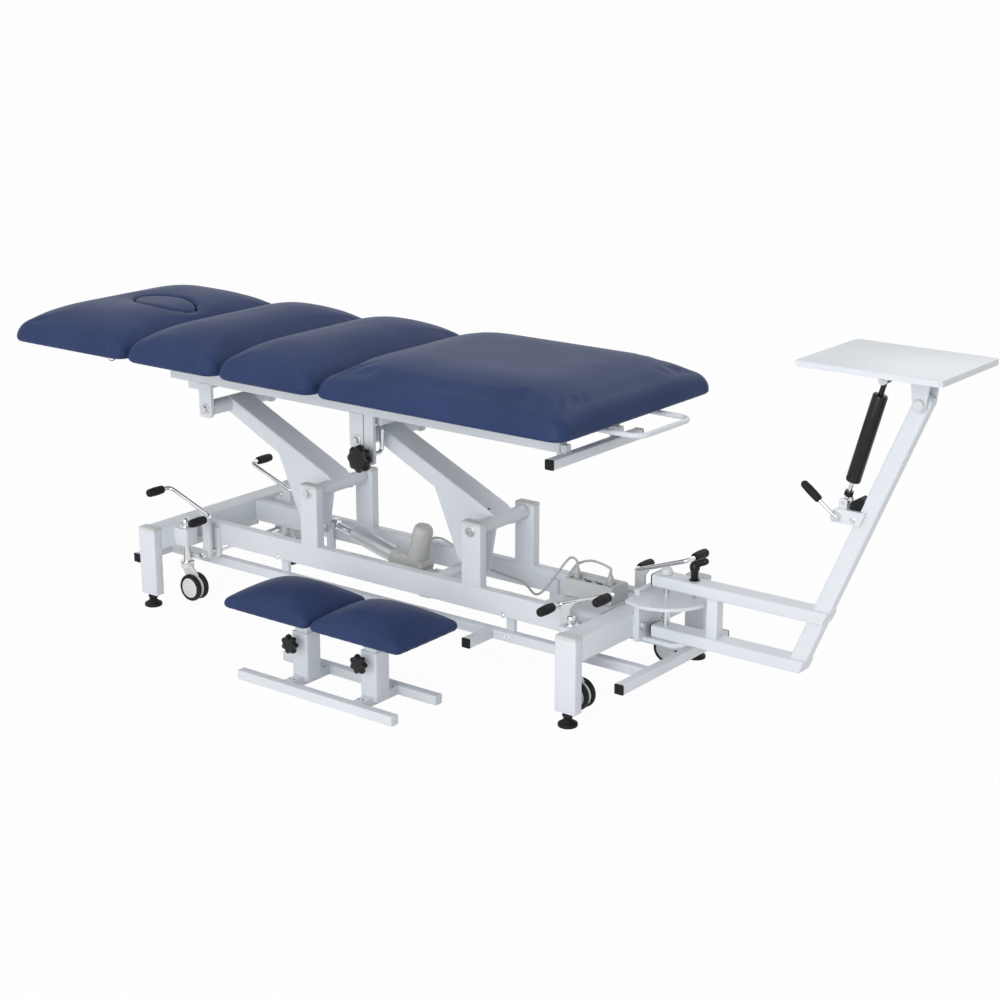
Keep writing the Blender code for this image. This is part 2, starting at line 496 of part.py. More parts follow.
def star(at, r, depth, lobes=7):
    """A lobed knob turned to the front: flat outline with a wave, its rim drawn in at both faces."""
    n = lobes * 4
    rows = []
    for k, h in ((0.86, 0), (1.0, 0.18), (1.0, 0.72), (0.84, 1.0)):
        rows.append([(at[0] + r * k * (1 + 0.10 * math.cos(lobes * t)) * math.cos(t), at[1] - depth * h, at[2] + r * k * (1 + 0.10 * math.cos(lobes * t)) * math.sin(t)) for t in (2 * math.pi * i / n for i in range(n))])
    return rings_to_solid(rows, False)


lock_y = -rail_out - 0.004
add = [sweep(rounded([(lock_x, lock_y - 0.022, lock_z), (lock_x, -0.076, lock_z), (lock_x, -0.076, lock_z + 0.060)], 0.014), 0.006, 14), star((lock_x, lock_y - 0.016, lock_z), 0.034, 0.030, 5), rod((lock_x, lock_y - 0.002, lock_z), (lock_x, lock_y - 0.020, lock_z), 0.013)]
node("lock_knob", "black", add)

# Cushions of the fixed sections, and of the sliding one
sections = [(a + SECTION_GAP / 2, b - SECTION_GAP / 2) for a, b in zip(SECTION_X, SECTION_X[1:])]
sections[0] = (SECTION_X[0], sections[0][1])
sections[3] = (sections[3][0], SECTION_X[4])
for k, name in ((1, "thorax_cushion"), (2, "lumbar_cushion"), (3, "pelvic_cushion")):
    node(name, "vinyl", [cushion(*sections[k], -CUSHION_Y, CUSHION_Y, SEAT_Z, CUSHION_H, 0.062)])

# Sliding carriage of the pelvic section, with its loop handle
cz0, cz1 = z1 + GAP, SEAT_Z - GAP
sx0 = sections[3][0] + CARRIAGE_IN
add = [tube("x", -RAIL_Y - 0.014, -RAIL_Y + 0.014, cz0, cz1, sx0, sx0 + CARRIAGE_L, 0.003), tube("x", RAIL_Y - 0.014, RAIL_Y + 0.014, cz0, cz1, sx0, sx0 + CARRIAGE_L, 0.003)]
for x in (sx0 + BOARD_W / 2, sx0 + CARRIAGE_L - 3 * BOARD_W):
    add.insert(1, box(x, x + 1.25 * BOARD_W, -BOARD_Y - 0.015, BOARD_Y + 0.015, cz0 + 0.006, cz1 - 0.0005))
loop_x = SECTION_X[4] + LOOP_OUT
loop_x0 = sx0 + CARRIAGE_L - 0.020
loop = rounded([(loop_x0, -RAIL_Y, cz0 + 0.011), (loop_x, -RAIL_Y, cz0 + 0.011), (loop_x, RAIL_Y, cz0 + 0.011), (loop_x0, RAIL_Y, cz0 + 0.011)], LOOP_R, 5)
add.append(sweep(loop, LOOP_ROD_R, 12))
node("slide_carriage", "paint", add)

# Head section: frame on a hinge rod, cushion with a face hole, plug, pull ring
node("head_hinge_rod", "chrome", [rod((HINGE_X, -rail_out - 0.026, HINGE_Z), (HINGE_X, rail_out + 0.026, HINGE_Z), HINGE_R)])
add = []
for sy in (-1, 1):
    y = sorted((sy * (rail_out + 0.004), sy * (rail_out + 0.020)))
    add.append(prism([(HINGE_X - 0.016, HINGE_Z - 0.014), (HINGE_X + 0.004, HINGE_Z - 0.014), (HINGE_X + 0.006, SEAT_Z - GAP), (SECTION_X[0] + 0.06, SEAT_Z - GAP), (SECTION_X[0] + 0.06, SEAT_Z - 0.022), (HINGE_X - 0.05, SEAT_Z - 0.022)], *y))
for x in (SECTION_X[0] + 0.062, HINGE_X - 0.066):
    add.insert(1, box(x, x + 0.030, -rail_out - 0.012, rail_out + 0.012, SEAT_Z - 0.020, SEAT_Z - 2 * GAP))
ring_x, ring_y, ring_z = SECTION_X[0] + 0.20, -rail_out - 0.012, SEAT_Z - 0.034
add.append(rod((ring_x - 0.016, ring_y, ring_z), (ring_x + 0.016, ring_y, ring_z), 0.003, 12))
for s in (-1, 1):
    add.append(box(ring_x + s * 0.014 - 0.003, ring_x + s * 0.014 + 0.003, ring_y - 0.005, ring_y + 0.005, ring_z - 0.005, SEAT_Z - 0.015))
node("head_frame", "paint", add, [rod((HINGE_X, -rail_out - 0.074, HINGE_Z), (HINGE_X, rail_out + 0.074, HINGE_Z), HINGE_R + RUN)])
ring_r = 0.017
rings = []
for k in range(16):
    a = 2 * math.pi * k / 16
    rings.append([(ring_x + 0.002 * math.sin(b), ring_y + (ring_r + 0.002 * math.cos(b)) * math.sin(a), ring_z - ring_r + 0.0055 + (ring_r + 0.002 * math.cos(b)) * math.cos(a)) for b in (2 * math.pi * i / 6 for i in range(6))])
node("pull_ring", "chrome", [rings_to_solid(rings, True)])

head = (*sections[0], -CUSHION_Y, CUSHION_Y)
rows = cushion_rows(*head, CUSHION_H, 0.062)[:8]
rings = [[(*p, SEAT_Z + h) for p in seen_from(FACE_X, 0, cushion_row(*head, i, 8, 40))] for i, h in rows]
rim = ellipse(FACE_X, 0, FACE_A + 0.007, FACE_B + 0.007)
for t, h in ((0.35, CUSHION_H - 0.004), (0.72, CUSHION_H - 0.0005)):
    rings.append([(o[0] + (i[0] - o[0]) * t, o[1] + (i[1] - o[1]) * t, SEAT_Z + h) for o, i in zip(rings[7], rim)])
for d, h in ((0.007, CUSHION_H - 0.001), (0.002, CUSHION_H - 0.006), (0, CUSHION_H - 0.014), (0, 0.004), (0.004, 0)):
    rings.append([(*p, SEAT_Z + h) for p in ellipse(FACE_X, 0, FACE_A + d, FACE_B + d)])
node("head_cushion", "vinyl", [rings_to_solid(rings, True)])
rows = [(0.004, 0.006), (0, 0.012), (0, CUSHION_H - 0.016), (0.004, CUSHION_H - 0.007), (0.016, CUSHION_H - 0.003), (0.040, CUSHION_H - 0.001), (0.058, CUSHION_H)]
plug = FACE_A - 0.0015, FACE_B - 0.0015
node("face_plug", "vinyl", [rings_to_solid([[(*p, SEAT_Z + h) for p in ellipse(FACE_X, 0, plug[0] - i, plug[1] - i)] for i, h in rows], False)])

# Castors: stem in its sleeve, swivelling fork, twin wheel
wheel_z = WHEEL_LIFT + WHEEL_R
collar_z = SHAFT_Z - 0.026
for sx, end in zip(TRUNK, ("head", "foot")):
    for sy, side in ((-1, "front"), (1, "back")):
        at = (sx * CASTOR_X, sy * CASTOR_Y, 0)
        node(f"castor_stem_{end}_{side}", "chrome", [lathe([(0, collar_z), (0.018, collar_z), (0.020, collar_z + 0.0015), (0.020, collar_z + 0.006), (STEM_R, collar_z + 0.0065), (STEM_R, BEAM_Z1 + 0.008), (0.75 * STEM_R, BEAM_Z1 + 0.0145), (0, BEAM_Z1 + 0.018)], at)])
        wx = at[0] + CASTOR_TRAIL
        web = [(at[0] - 0.014, collar_z - 0.0045), (at[0] - 0.014, collar_z - 0.020), (wx - 0.012, wheel_z - 0.004), (wx - 0.006, wheel_z - 0.012), (wx + 0.006, wheel_z - 0.012), (wx + 0.013, wheel_z), (wx + 0.013, collar_z - 0.024), (at[0] + 0.014, collar_z - 0.0045)]
        add = [lathe([(0, collar_z - 0.014), (0.016, collar_z - 0.014), (0.0175, collar_z - 0.012), (0.0175, collar_z - GAP), (0, collar_z - GAP)], at), prism(web, at[1] - 0.0045, at[1] + 0.0045)]
        node(f"castor_fork_{end}_{side}", "black", add, [rod((wx, at[1] - 0.02, wheel_z), (wx, at[1] + 0.02, wheel_z), 0.004 + RUN, 12)])
        half = [(0, -0.0195), (0.025, -0.0195), (0.026, -0.021), (WHEEL_R - 0.003, -0.021), (WHEEL_R, -0.017), (WHEEL_R, -0.0095), (WHEEL_R - 0.003, -0.006), (0.004, -0.006)]
        node(f"castor_wheel_{end}_{side}", "black", [lathe(half + [(r, -h) for r, h in reversed(half)], (wx, at[1], wheel_z), "y", 12)])

# Castor pedals: cross shaft, two arm plates, two bent rods with grips, a push finger over each stem's collar
for sx, end in zip(TRUNK, ("head", "foot")):
    def px(out, z):
        return (sx * (SHAFT_X + out), z)
    outer, inner = px(PEDAL_OUT, SHAFT_Z + PEDAL_RISE), px(-PEDAL_IN, SHAFT_Z + PEDAL_RISE - PEDAL_FALL)
    add = [rod((sx * SHAFT_X, -CASTOR_Y + 0.010, SHAFT_Z), (sx * SHAFT_X, CASTOR_Y - 0.010, SHAFT_Z), SHAFT_R)]
    for sy in (-1, 1):
        low = SHAFT_Z + PEDAL_RISE - PEDAL_FALL
        plate = [px(0.014, SHAFT_Z - 0.012), px(0.014, low - 0.006), px(0.035, low + 0.0218), px(-0.006, low + 0.0068), px(-0.014, low - 0.001), px(-0.014, SHAFT_Z - 0.012)]
        add.append(prism(plate, *sorted((sy * (PEDAL_Y - 0.005), sy * (PEDAL_Y + 0.005)))))
        bent = rounded([(outer[0], sy * (PEDAL_TIP_Y - 0.0604), outer[1]), (outer[0], sy * PEDAL_Y, outer[1]), (inner[0], sy * PEDAL_Y, inner[1]), (inner[0], sy * (PEDAL_TIP_Y - 0.0604), inner[1])], 0.016, 2)
        grip = [(PEDAL_TIP_Y, 0.008), (PEDAL_TIP_Y - 0.006, 0.012), (PEDAL_TIP_Y - 0.060, 0.012)]
        path = [(outer[0], sy * y, outer[1]) for y, _ in grip] + bent + [(inner[0], sy * y, inner[1]) for y, _ in reversed(grip)]
        radii = [r for _, r in grip] + [PEDAL_ROD_R] * len(bent) + [r for _, r in reversed(grip)]
        add.append(sweep(path, radii, 8))
        add.append(box(*sorted((sx * (SHAFT_X + 0.001), sx * (CASTOR_X + 0.004))), *sorted((sy * (CASTOR_Y - 0.022), sy * (CASTOR_Y - 0.014))), SHAFT_Z - 0.0155, SHAFT_Z - 0.001))
    node(f"castor_pedal_{end}", "chrome", add)

# Foot-switch bar: long bars under the rails, end bars, side stubs, hangers inside the rails
b0, b1 = BAR_Z0, BAR_Z0 + BAR_S
add = [tube("x", -BAR_LONG_Y - BAR_S / 2, -BAR_LONG_Y + BAR_S / 2, b0, b1, -BAR_END_X, BAR_END_X, 0.003)]
for s in TRUNK:
    add.append(tube("y", s * BAR_END_X - BAR_S / 2, s * BAR_END_X + BAR_S / 2, b0 + 0.0004, b1 + 0.0004, -BAR_END_Y, BAR_END_Y, 0.003))
add.append(tube("x", BAR_LONG_Y - BAR_S / 2, BAR_LONG_Y + BAR_S / 2, b0, b1, -BAR_END_X, BAR_END_X, 0.003))
for sy in (-1, 1):
    add.append(tube("y", 0.338 - BAR_S / 2, 0.338 + BAR_S / 2, b0 + 0.0004, b1 + 0.0004, *sorted((sy * BAR_LONG_Y, sy * 0.210)), 0.003))
    for x in (-0.376, 0.390):
        add.append(box(x - 0.0125, x + 0.0125, *sorted((sy * (rail_in - 0.0100), sy * (rail_in - GAP))), b0 + 0.004, rail_z0 + 0.042))
node("foot_bar", "paint", add)

# Traction stand: bracket on the foot-end beam
bz0, bz1, qz0, qz1 = STAND_Z
face = FOOT_X + half_w + GAP
arc = [(STAND_X + 0.115 * math.cos(math.radians(a)), 0.115 * math.sin(math.radians(a))) for a in range(-90, 101, 10)]
add = [box(face, face + 0.014, -0.056, 0.056, bz0 + 0.002, qz1 + 0.012),
       prism([(face + 0.004, -0.10), *arc, (face + 0.004, 0.10)], qz0, qz1, "z"),
       prism([(face + 0.004, -0.036), (STAND_X + 0.040, -0.036), (STAND_X + 0.062, -0.012), (STAND_X + 0.062, 0.012), (STAND_X + 0.040, 0.036), (face + 0.004, 0.036)], bz0, bz1, "z"),
       prism([(face + 0.004, 0.200), (STAND_X + 0.085, qz0 + LAP), (face + 0.004, qz0 + LAP)], 0.040, 0.046)]
pin_r = 0.008
cut = [lathe([(0, 0.10), (pin_r + RUN, 0.10), (pin_r + RUN, 0.34), (0, 0.34)], (STAND_X, 0, 0))]
for a in (0, 30, 60, 90):
    t = math.radians(a)
    cut.append(lathe([(0, 0.24), (0.0055, 0.24), (0.0055, 0.28), (0, 0.28)], (STAND_X + 0.077 * math.cos(t), 0.077 * math.sin(t), 0), n=12))
node("stand_bracket", "paint", add, cut)
low0, low1 = bz1 + GAP, bz1 + GAP + SWING_H
up0, up1 = qz1 + 0.018, qz1 + 0.018 + SWING_H
node("swing_pin", "chrome", [lathe([(0, bz0 - 0.014), (0.012, bz0 - 0.014), (0.0135, bz0 - 0.012), (0.0135, bz0 - GAP), (pin_r, bz0 - GAP), (pin_r, up1 + GAP), (0.0135, up1 + GAP), (0.0135, up1 + 0.006), (0.011, up1 + 0.013), (0.006, up1 + 0.0165), (0, up1 + 0.0175)], (STAND_X, 0, 0))])

# Swing arm: two long tubes, stay, slanted post with the platform pin and the gas spring's block
px, pz = TILT_X - POST_FOOT[0], TILT_Z - POST_FOOT[1]
post_len = math.hypot(px, pz)
pe, pn = (px / post_len, pz / post_len), (pz / post_len, -px / post_len)


def on_post(t, n):
    return (POST_FOOT[0] + pe[0] * t + pn[0] * n, POST_FOOT[1] + pe[1] * t + pn[1] * n)


hw = SWING_W / 2
add = [prism([on_post(-0.012, -0.020), on_post(-0.012, 0.020), on_post(post_len + 0.008, 0.020), on_post(post_len + 0.020, 0.010), on_post(post_len + 0.020, -0.010), on_post(post_len + 0.008, -0.020)], -0.0150, 0.0150),
       tube("x", -hw, hw, up0, up1, STAND_X - 0.028, on_post((up0 - POST_FOOT[1]) / pe[1], 0)[0]),
       tube("x", -hw, hw, low0, low1, STAND_X - 0.028, POST_FOOT[0] + 0.012),
       tube("z", 0.905, 0.935, -0.015, 0.015, low1 - 0.006, up0 + 0.006, 0.003),
       prism([(GAS_FOOT[0] - 0.022, GAS_FOOT[1] - 0.046), (GAS_FOOT[0] + 0.045, GAS_FOOT[1] - 0.046), (GAS_FOOT[0] + 0.060, GAS_FOOT[1] - 0.014), (GAS_FOOT[0] - 0.014, GAS_FOOT[1] - 0.014), (GAS_FOOT[0] - 0.022, GAS_FOOT[1] - 0.020)], -0.024, 0.024),
       rod((TILT_X, -0.034, TILT_Z), (TILT_X, 0.034, TILT_Z), 0.007)]
for sy in (-1, 1):
    add.append(prism([(GAS_FOOT[0] - 0.010, GAS_FOOT[1] - 0.018), (GAS_FOOT[0] + 0.010, GAS_FOOT[1] - 0.018), (GAS_FOOT[0] + 0.010, GAS_FOOT[1] + 0.004), (GAS_FOOT[0] + 0.005, GAS_FOOT[1] + 0.009), (GAS_FOOT[0] - 0.005, GAS_FOOT[1] + 0.009), (GAS_FOOT[0] - 0.010, GAS_FOOT[1] + 0.004)], *sorted((sy * 0.0105, sy * 0.0165))))
add.append(rod((GAS_FOOT[0], -0.013, GAS_FOOT[1]), (GAS_FOOT[0], 0.013, GAS_FOOT[1]), 0.004, 14))
rel = (GAS_FOOT[0] - 0.008, GAS_FOOT[1] - 0.030)
add.append(rod((rel[0], -0.042, rel[1]), (rel[0], -0.020, rel[1]), 0.0042, 14))
plunge_x = STAND_X + 0.077
cut = [lathe([(0, 0.10), (pin_r + RUN, 0.10), (pin_r + RUN, 0.34), (0, 0.34)], (STAND_X, 0, 0)),
       lathe([(0, 0.24), (0.0046, 0.24), (0.0046, 0.34), (0, 0.34)], (plunge_x, 0, 0), n=14)]
node("swing_arm", "paint", add, cut)
add = [lathe([(0, qz1 + 0.002), (0.004, qz1 + 0.002), (0.004, up1 + GAP), (0.014, up1 + GAP), (0.014, up1 + 0.003), (0.009, up1 + 0.005), (0.009, up1 + 0.020), (0.013, up1 + 0.024), (0.013, up1 + 0.034), (0, up1 + 0.036)], (plunge_x, 0, 0), n=12),
       sweep([(plunge_x, 0, up1 + 0.030), (plunge_x + 0.014, 0, up1 + 0.042), (plunge_x + 0.030, 0, up1 + 0.052), (plunge_x + 0.035, 0, up1 + 0.0535)], 0.0085, 12)]
node("index_plunger", "black", add)

# Platform, gas spring and release lever
t, lip = 0.004, 0.036
add = [box(PLATE_X0, PLATE_X1, -PLATE_Y, PLATE_Y, PLATE_Z - t, PLATE_Z)]
for a in (PLATE_X0, PLATE_X1 - t):
    add.append(box(a, a + t, -PLATE_Y + 0.0005, PLATE_Y - 0.0005, PLATE_Z - lip, PLATE_Z - 0.001) if a == PLATE_X0 else box(a - 0.0005, a + t - 0.0005, -PLATE_Y + 0.0005, PLATE_Y - 0.0005, PLATE_Z - lip, PLATE_Z - 0.001))
add[1] = box(PLATE_X0 + 0.0005, PLATE_X0 + t + 0.0005, -PLATE_Y + 0.0005, PLATE_Y - 0.0005, PLATE_Z - lip, PLATE_Z - 0.001)
for s in (-1, 1):
    add.append(box(PLATE_X0 + 0.001, PLATE_X1 - 0.001, *sorted((s * (PLATE_Y - t), s * (PLATE_Y - 0.0003))), PLATE_Z - lip + 0.0004, PLATE_Z - 0.0015))
    add.append(prism([(TILT_X - 0.026, PLATE_Z - t + 0.001), (TILT_X + 0.026, PLATE_Z - t + 0.001), (TILT_X + 0.016, TILT_Z - 0.006), (TILT_X + 0.008, TILT_Z - 0.015), (TILT_X - 0.008, TILT_Z - 0.015), (TILT_X - 0.016, TILT_Z - 0.006)], *sorted((s * 0.0205, s * 0.0265))))
    add.append(prism([(GAS_TOP[0] - 0.014, PLATE_Z - t + 0.001), (GAS_TOP[0] + 0.014, PLATE_Z - t + 0.001), (GAS_TOP[0] + 0.009, GAS_TOP[1] - 0.005), (GAS_TOP[0] + 0.004, GAS_TOP[1] - 0.010), (GAS_TOP[0] - 0.004, GAS_TOP[1] - 0.010), (GAS_TOP[0] - 0.009, GAS_TOP[1] - 0.005)], *sorted((s * 0.0105, s * 0.0165))))
add.append(rod((GAS_TOP[0], -0.013, GAS_TOP[1]), (GAS_TOP[0], 0.013, GAS_TOP[1]), 0.004, 14))
node("tilt_platform", "paint", add, [rod((TILT_X, -0.05, TILT_Z), (TILT_X, 0.05, TILT_Z), 0.007 + RUN)])
gx, gz = GAS_TOP[0] - GAS_FOOT[0], GAS_TOP[1] - GAS_FOOT[1]
gas_len = math.hypot(gx, gz)
gd = (gx / gas_len, gz / gas_len)


def on_gas(s, y=0.0):
    return (GAS_FOOT[0] + gd[0] * s, y, GAS_FOOT[1] + gd[1] * s)


node("gas_rod", "chrome", [rod(on_gas(0.004), on_gas(0.190), 0.005, 12), rod(on_gas(0, -0.0085), on_gas(0, 0.0085), 0.0095, 12)], [rod(on_gas(0, -0.02), on_gas(0, 0.02), 0.004 + RUN, 14)])
add = [rod(on_gas(0.050), on_gas(gas_len - 0.036), 0.017, 16), rod(on_gas(gas_len - 0.040), on_gas(gas_len - 0.004), 0.006, 12), rod(on_gas(gas_len, -0.0085), on_gas(gas_len, 0.0085), 0.0095, 12)]
node("gas_cylinder", "black", add, [rod(on_gas(gas_len, -0.02), on_gas(gas_len, 0.02), 0.004 + RUN, 14), rod(on_gas(0.040), on_gas(0.200), 0.0098, 14)])
tip = (rel[0] - 0.086, rel[1] + 0.066)
add = [rod((rel[0], -0.041, rel[1]), (rel[0], -0.024 - GAP, rel[1]), 0.0085), sweep([(rel[0] - 0.004, -0.033, rel[1] + 0.003), (rel[0] - 0.060, -0.033, rel[1] + 0.046)], 0.0045, 12), sweep([(rel[0] - 0.044, -0.033, rel[1] + 0.0338), (rel[0] - 0.047, -0.033, rel[1] + 0.0361), (tip[0] + 0.004, -0.033, tip[1] - 0.003), (tip[0], -0.033, tip[1])], 0.0095, 12)]
node("release_lever", "black", add, [rod((rel[0], -0.06, rel[1]), (rel[0], -0.01, rel[1]), 0.0042 + RUN, 14)])

# Flexion stool
sb = STOOL_BAR
sy0, sy1 = STOOL_Y - STOOL_HALF_D, STOOL_Y + STOOL_HALF_D
bar_x = (STOOL_X[0] - STOOL_BAR_OVER[0], STOOL_X[1] + STOOL_BAR_OVER[1])
add = [tube("x", sy0, sy0 + sb, 0, sb, *bar_x, 0.003)]
for x in STOOL_X:
    add.append(tube("y", x - sb / 2, x + sb / 2, 0.0004, sb - 0.0004, sy0 + 0.01, sy1 - 0.01, 0.003))
add.append(tube("x", sy1 - sb, sy1, 0, sb, *bar_x, 0.003))
cut = []
for x in STOOL_X:
    add.append(tube("z", x - 0.025, x + 0.025, STOOL_Y - 0.025, STOOL_Y + 0.025, 0.012, 0.136, 0.003))
    cut.append(box(x - 0.020 - RUN, x + 0.020 + RUN, STOOL_Y - 0.020 - RUN, STOOL_Y + 0.020 + RUN, sb + 0.004, 0.16))
    cut.append(rod((x, STOOL_Y - 0.05, 0.116), (x, STOOL_Y, 0.116), 0.004 + RUN, 14))
node("stool_base", "paint", add, cut)
for x, side in zip(STOOL_X, ("left", "right")):
    add = [tube("z", x - 0.020, x + 0.020, STOOL_Y - 0.020, STOOL_Y + 0.020, sb + 0.006, STOOL_SEAT_Z - 0.003, 0.003), box(x - 0.080, x + 0.080, STOOL_Y - 0.085, STOOL_Y + 0.085, STOOL_SEAT_Z - 0.0055, STOOL_SEAT_Z - GAP)]
    node(f"stool_post_{side}", "paint", add)
    node(f"stool_knob_{side}", "black", [star((x, STOOL_Y - 0.050, 0.116), 0.0225, 0.018), rod((x, STOOL_Y - 0.020 - GAP, 0.116), (x, STOOL_Y - 0.056, 0.116), 0.004, 14), rod((x, STOOL_Y - 0.046, 0.116), (x, STOOL_Y - 0.056, 0.116), 0.010)])
mid_x = (STOOL_X[0] + STOOL_X[1]) / 2
seat_x = (STOOL_X[0] - STOOL_OVER[0], mid_x - STOOL_SPLIT / 2, mid_x + STOOL_SPLIT / 2, STOOL_X[1] + STOOL_OVER[1])
for k, side in ((0, "left"), (2, "right")):
    node(f"stool_cushion_{side}", "vinyl", [cushion(seat_x[k], seat_x[k + 1], STOOL_SEAT_Y0, STOOL_Y + STOOL_HALF_D + STOOL_SEAT_BACK, STOOL_SEAT_Z, STOOL_SEAT_H, 0.026)])
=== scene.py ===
"""Looks of the traction table.

Each new piece is a surface worked out on a grid: rows of points from a formula, skinned row to row.
"""
import math
from typing import NamedTuple

import bmesh
import bpy
import numpy as np
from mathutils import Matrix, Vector


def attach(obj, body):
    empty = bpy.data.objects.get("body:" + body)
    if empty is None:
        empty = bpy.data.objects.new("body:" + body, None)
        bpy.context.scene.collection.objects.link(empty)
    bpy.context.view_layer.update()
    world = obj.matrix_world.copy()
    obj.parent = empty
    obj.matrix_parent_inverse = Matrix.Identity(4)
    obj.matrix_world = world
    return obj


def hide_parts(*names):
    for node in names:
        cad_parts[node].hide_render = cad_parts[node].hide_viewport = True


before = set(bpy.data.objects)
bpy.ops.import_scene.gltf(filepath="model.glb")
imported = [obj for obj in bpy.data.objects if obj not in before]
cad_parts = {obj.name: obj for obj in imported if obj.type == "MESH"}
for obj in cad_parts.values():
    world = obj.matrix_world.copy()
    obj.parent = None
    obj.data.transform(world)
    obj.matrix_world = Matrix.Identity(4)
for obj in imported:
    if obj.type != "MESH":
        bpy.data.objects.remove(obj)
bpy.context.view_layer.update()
scene = bpy.context.scene
scene.view_settings.view_transform = "Standard"

# Sizes shared with the solids, in metres, from the table's middle at floor level.
# X runs from head to foot, Y away from the stool.
ORIGIN = np.array([-0.1725, 0.122, 0.0])
GAP = 0.0004
TUBE_W, TUBE_T = 0.060, 0.030
FOOT_X, FOOT_Y, LEG_Z0, LEG_Z1 = 0.700, 0.282, 0.036, 0.2215
BEAM_Z0, BEAM_Z1 = 0.162, 0.222
RAIL_Y, RAIL_IN, RAIL_OUT = 0.111, 0.096, 0.126
BASE_RAIL_Z0, BASE_RAIL_Z1 = 0.158, 0.218
PIVOT_Z, PIVOTS, UPRIGHT_Z1 = 0.361, (-0.258, 0.287), 0.3795
ARM = np.array([-0.369, 0.174])
TOP_Z, TOPS = 0.535, (-0.627, -0.082)
RAIL_Z0, RAIL_Z1 = 0.604, 0.664
DROP_Y, SIDE_PLAY = (0.1160, 0.1256), 0.0012
SEAT_Z, PAD_H, PAD_Y = 0.687, 0.098, 0.328
SECTIONS = ((-1.177, -0.732), (-0.724, -0.395), (-0.387, -0.057), (-0.049, 0.706))
FACE_X, FACE_A, FACE_B = -0.900, 0.105, 0.066
HINGE, RING = (-0.738, 0.655), (-0.977, -0.138, 0.653)
CASTOR_X, CASTOR_Y, TRAIL, AXLE_Z, WHEEL_R = 0.648, 0.198, 0.024, 0.0475, 0.0375
SLEEVE_X, SLEEVE_HALF, SLEEVE_Z = (0.6245, 0.672), 0.0225, (0.1655, 0.2145)
SHAFT_X, SHAFT_Z = 0.605, 0.138
STAND_X = 0.785
TILT = (1.420, 0.829)
GAS_TOP, GAS_FOOT, RELEASE = (1.327, 0.868), (1.248, 0.582), (1.240, 0.552)
TILT_EAR, SPRING_EAR = (0.0205, 0.0265), (0.0105, 0.0165)
STOOL_X, STOOL_Y, STOOL_Z, CLAMP_Z = (0.024, 0.247), -0.445, 0.1905, 0.116
ENDS = ((-1, "head"), (1, "foot"))
SIDES = ((-1, "front"), (1, "back"))


def span(side, low, high):
    """The two ends of a stretch on one side of the middle, lowest first."""
    return sorted((side * low, side * high))


# Finishes
class Wire:
    """A socket that takes plain maths: each sum, difference or product adds one Math node."""

    def __init__(self, finish, socket):
        self.finish, self.socket = finish, socket

    def maths(self, operation, a, b):
        """One Math node on a and b, each a wire or a number."""
        return self.finish.add("ShaderNodeMath", {"operation": operation}, {0: a, 1: b})

    def __add__(self, other):
        return self.maths("ADD", self, other)

    def __radd__(self, other):
        return self.maths("ADD", other, self)

    def __sub__(self, other):
        return self.maths("SUBTRACT", self, other)

    def __rsub__(self, other):
        return self.maths("SUBTRACT", other, self)

    def __mul__(self, other):
        return self.maths("MULTIPLY", self, other)

    def __rmul__(self, other):
        return self.maths("MULTIPLY", other, self)

    def above(self, low, high):
        """0 below low, 1 above high, straight between them."""
        sockets = {"Value": self, "From Min": low, "From Max": high}
        return self.finish.add("ShaderNodeMapRange", {"clamp": True}, sockets)


class Finish:
    """One material: its shader, and one method that adds any node with its settings and its sockets."""

    def __init__(self, name, colour, rough, metal=0.0, **plain):
        self.material = bpy.data.materials.new(name)
        self.material.use_nodes = True
        self.material.diffuse_color = (*colour, 1)
        self.tree = self.material.node_tree
        self.tree.nodes.clear()
        self.shader = self.tree.nodes.new("ShaderNodeBsdfPrincipled")
        end = self.tree.nodes.new("ShaderNodeOutputMaterial")
        self.tree.links.new(self.shader.outputs[0], end.inputs[0])
        self.place = self.add("ShaderNodeTexCoord", out="Object")
        self.feed({"Base Color": (*colour, 1), "Roughness": rough, "Metallic": metal})
        self.feed({key.replace("_", " "): value for key, value in plain.items()})

    def link(self, node, sockets):
        """Sets a node's sockets: a wire is linked, anything else is its plain value."""
        for key, value in sockets.items():
            if isinstance(value, Wire):
                self.tree.links.new(value.socket, node.inputs[key])
            else:
                node.inputs[key].default_value = value

    def add(self, kind, settings=None, sockets=None, out=0):
        """A new node with its settings and sockets, as a wire from one of its outputs."""
        node = self.tree.nodes.new(kind)
        for key, value in (settings or {}).items():
            setattr(node, key, value)
        self.link(node, sockets or {})
        return Wire(self, node.outputs[out])

    def feed(self, sockets):
        """Sets sockets of the material's own shader."""
        self.link(self.shader, sockets)

    def noise(self, scale, detail=2.0, stretch=None):
        """Soft noise in the object's space, stretched where three scales are given."""
        place = self.place
        if stretch is not None:
            place = self.add("ShaderNodeMapping", None, {"Vector": self.place, "Scale": stretch})
        return self.add("ShaderNodeTexNoise", None, {"Vector": place, "Scale": scale, "Detail": detail})

    def cells(self, scale, feature="F1"):
        """Distance to the nearest of many scattered points."""
        return self.add("ShaderNodeTexVoronoi", {"feature": feature},
                        {"Vector": self.place, "Scale": scale})

    def tint(self, share, a, b):
        """A colour between a and b, by share."""
        a, b = (c if isinstance(c, Wire) else (*c, 1) for c in (a, b))
        return self.add("ShaderNodeMix", {"data_type": "RGBA"}, {0: share, 6: a, 7: b}, 2)

    def relief(self, height, strength, depth):
        """Bump on the shader's normal."""
        bump = self.add("ShaderNodeBump", None, {"Strength": strength, "Distance": depth, "Height": height})
        self.feed({"Normal": bump})


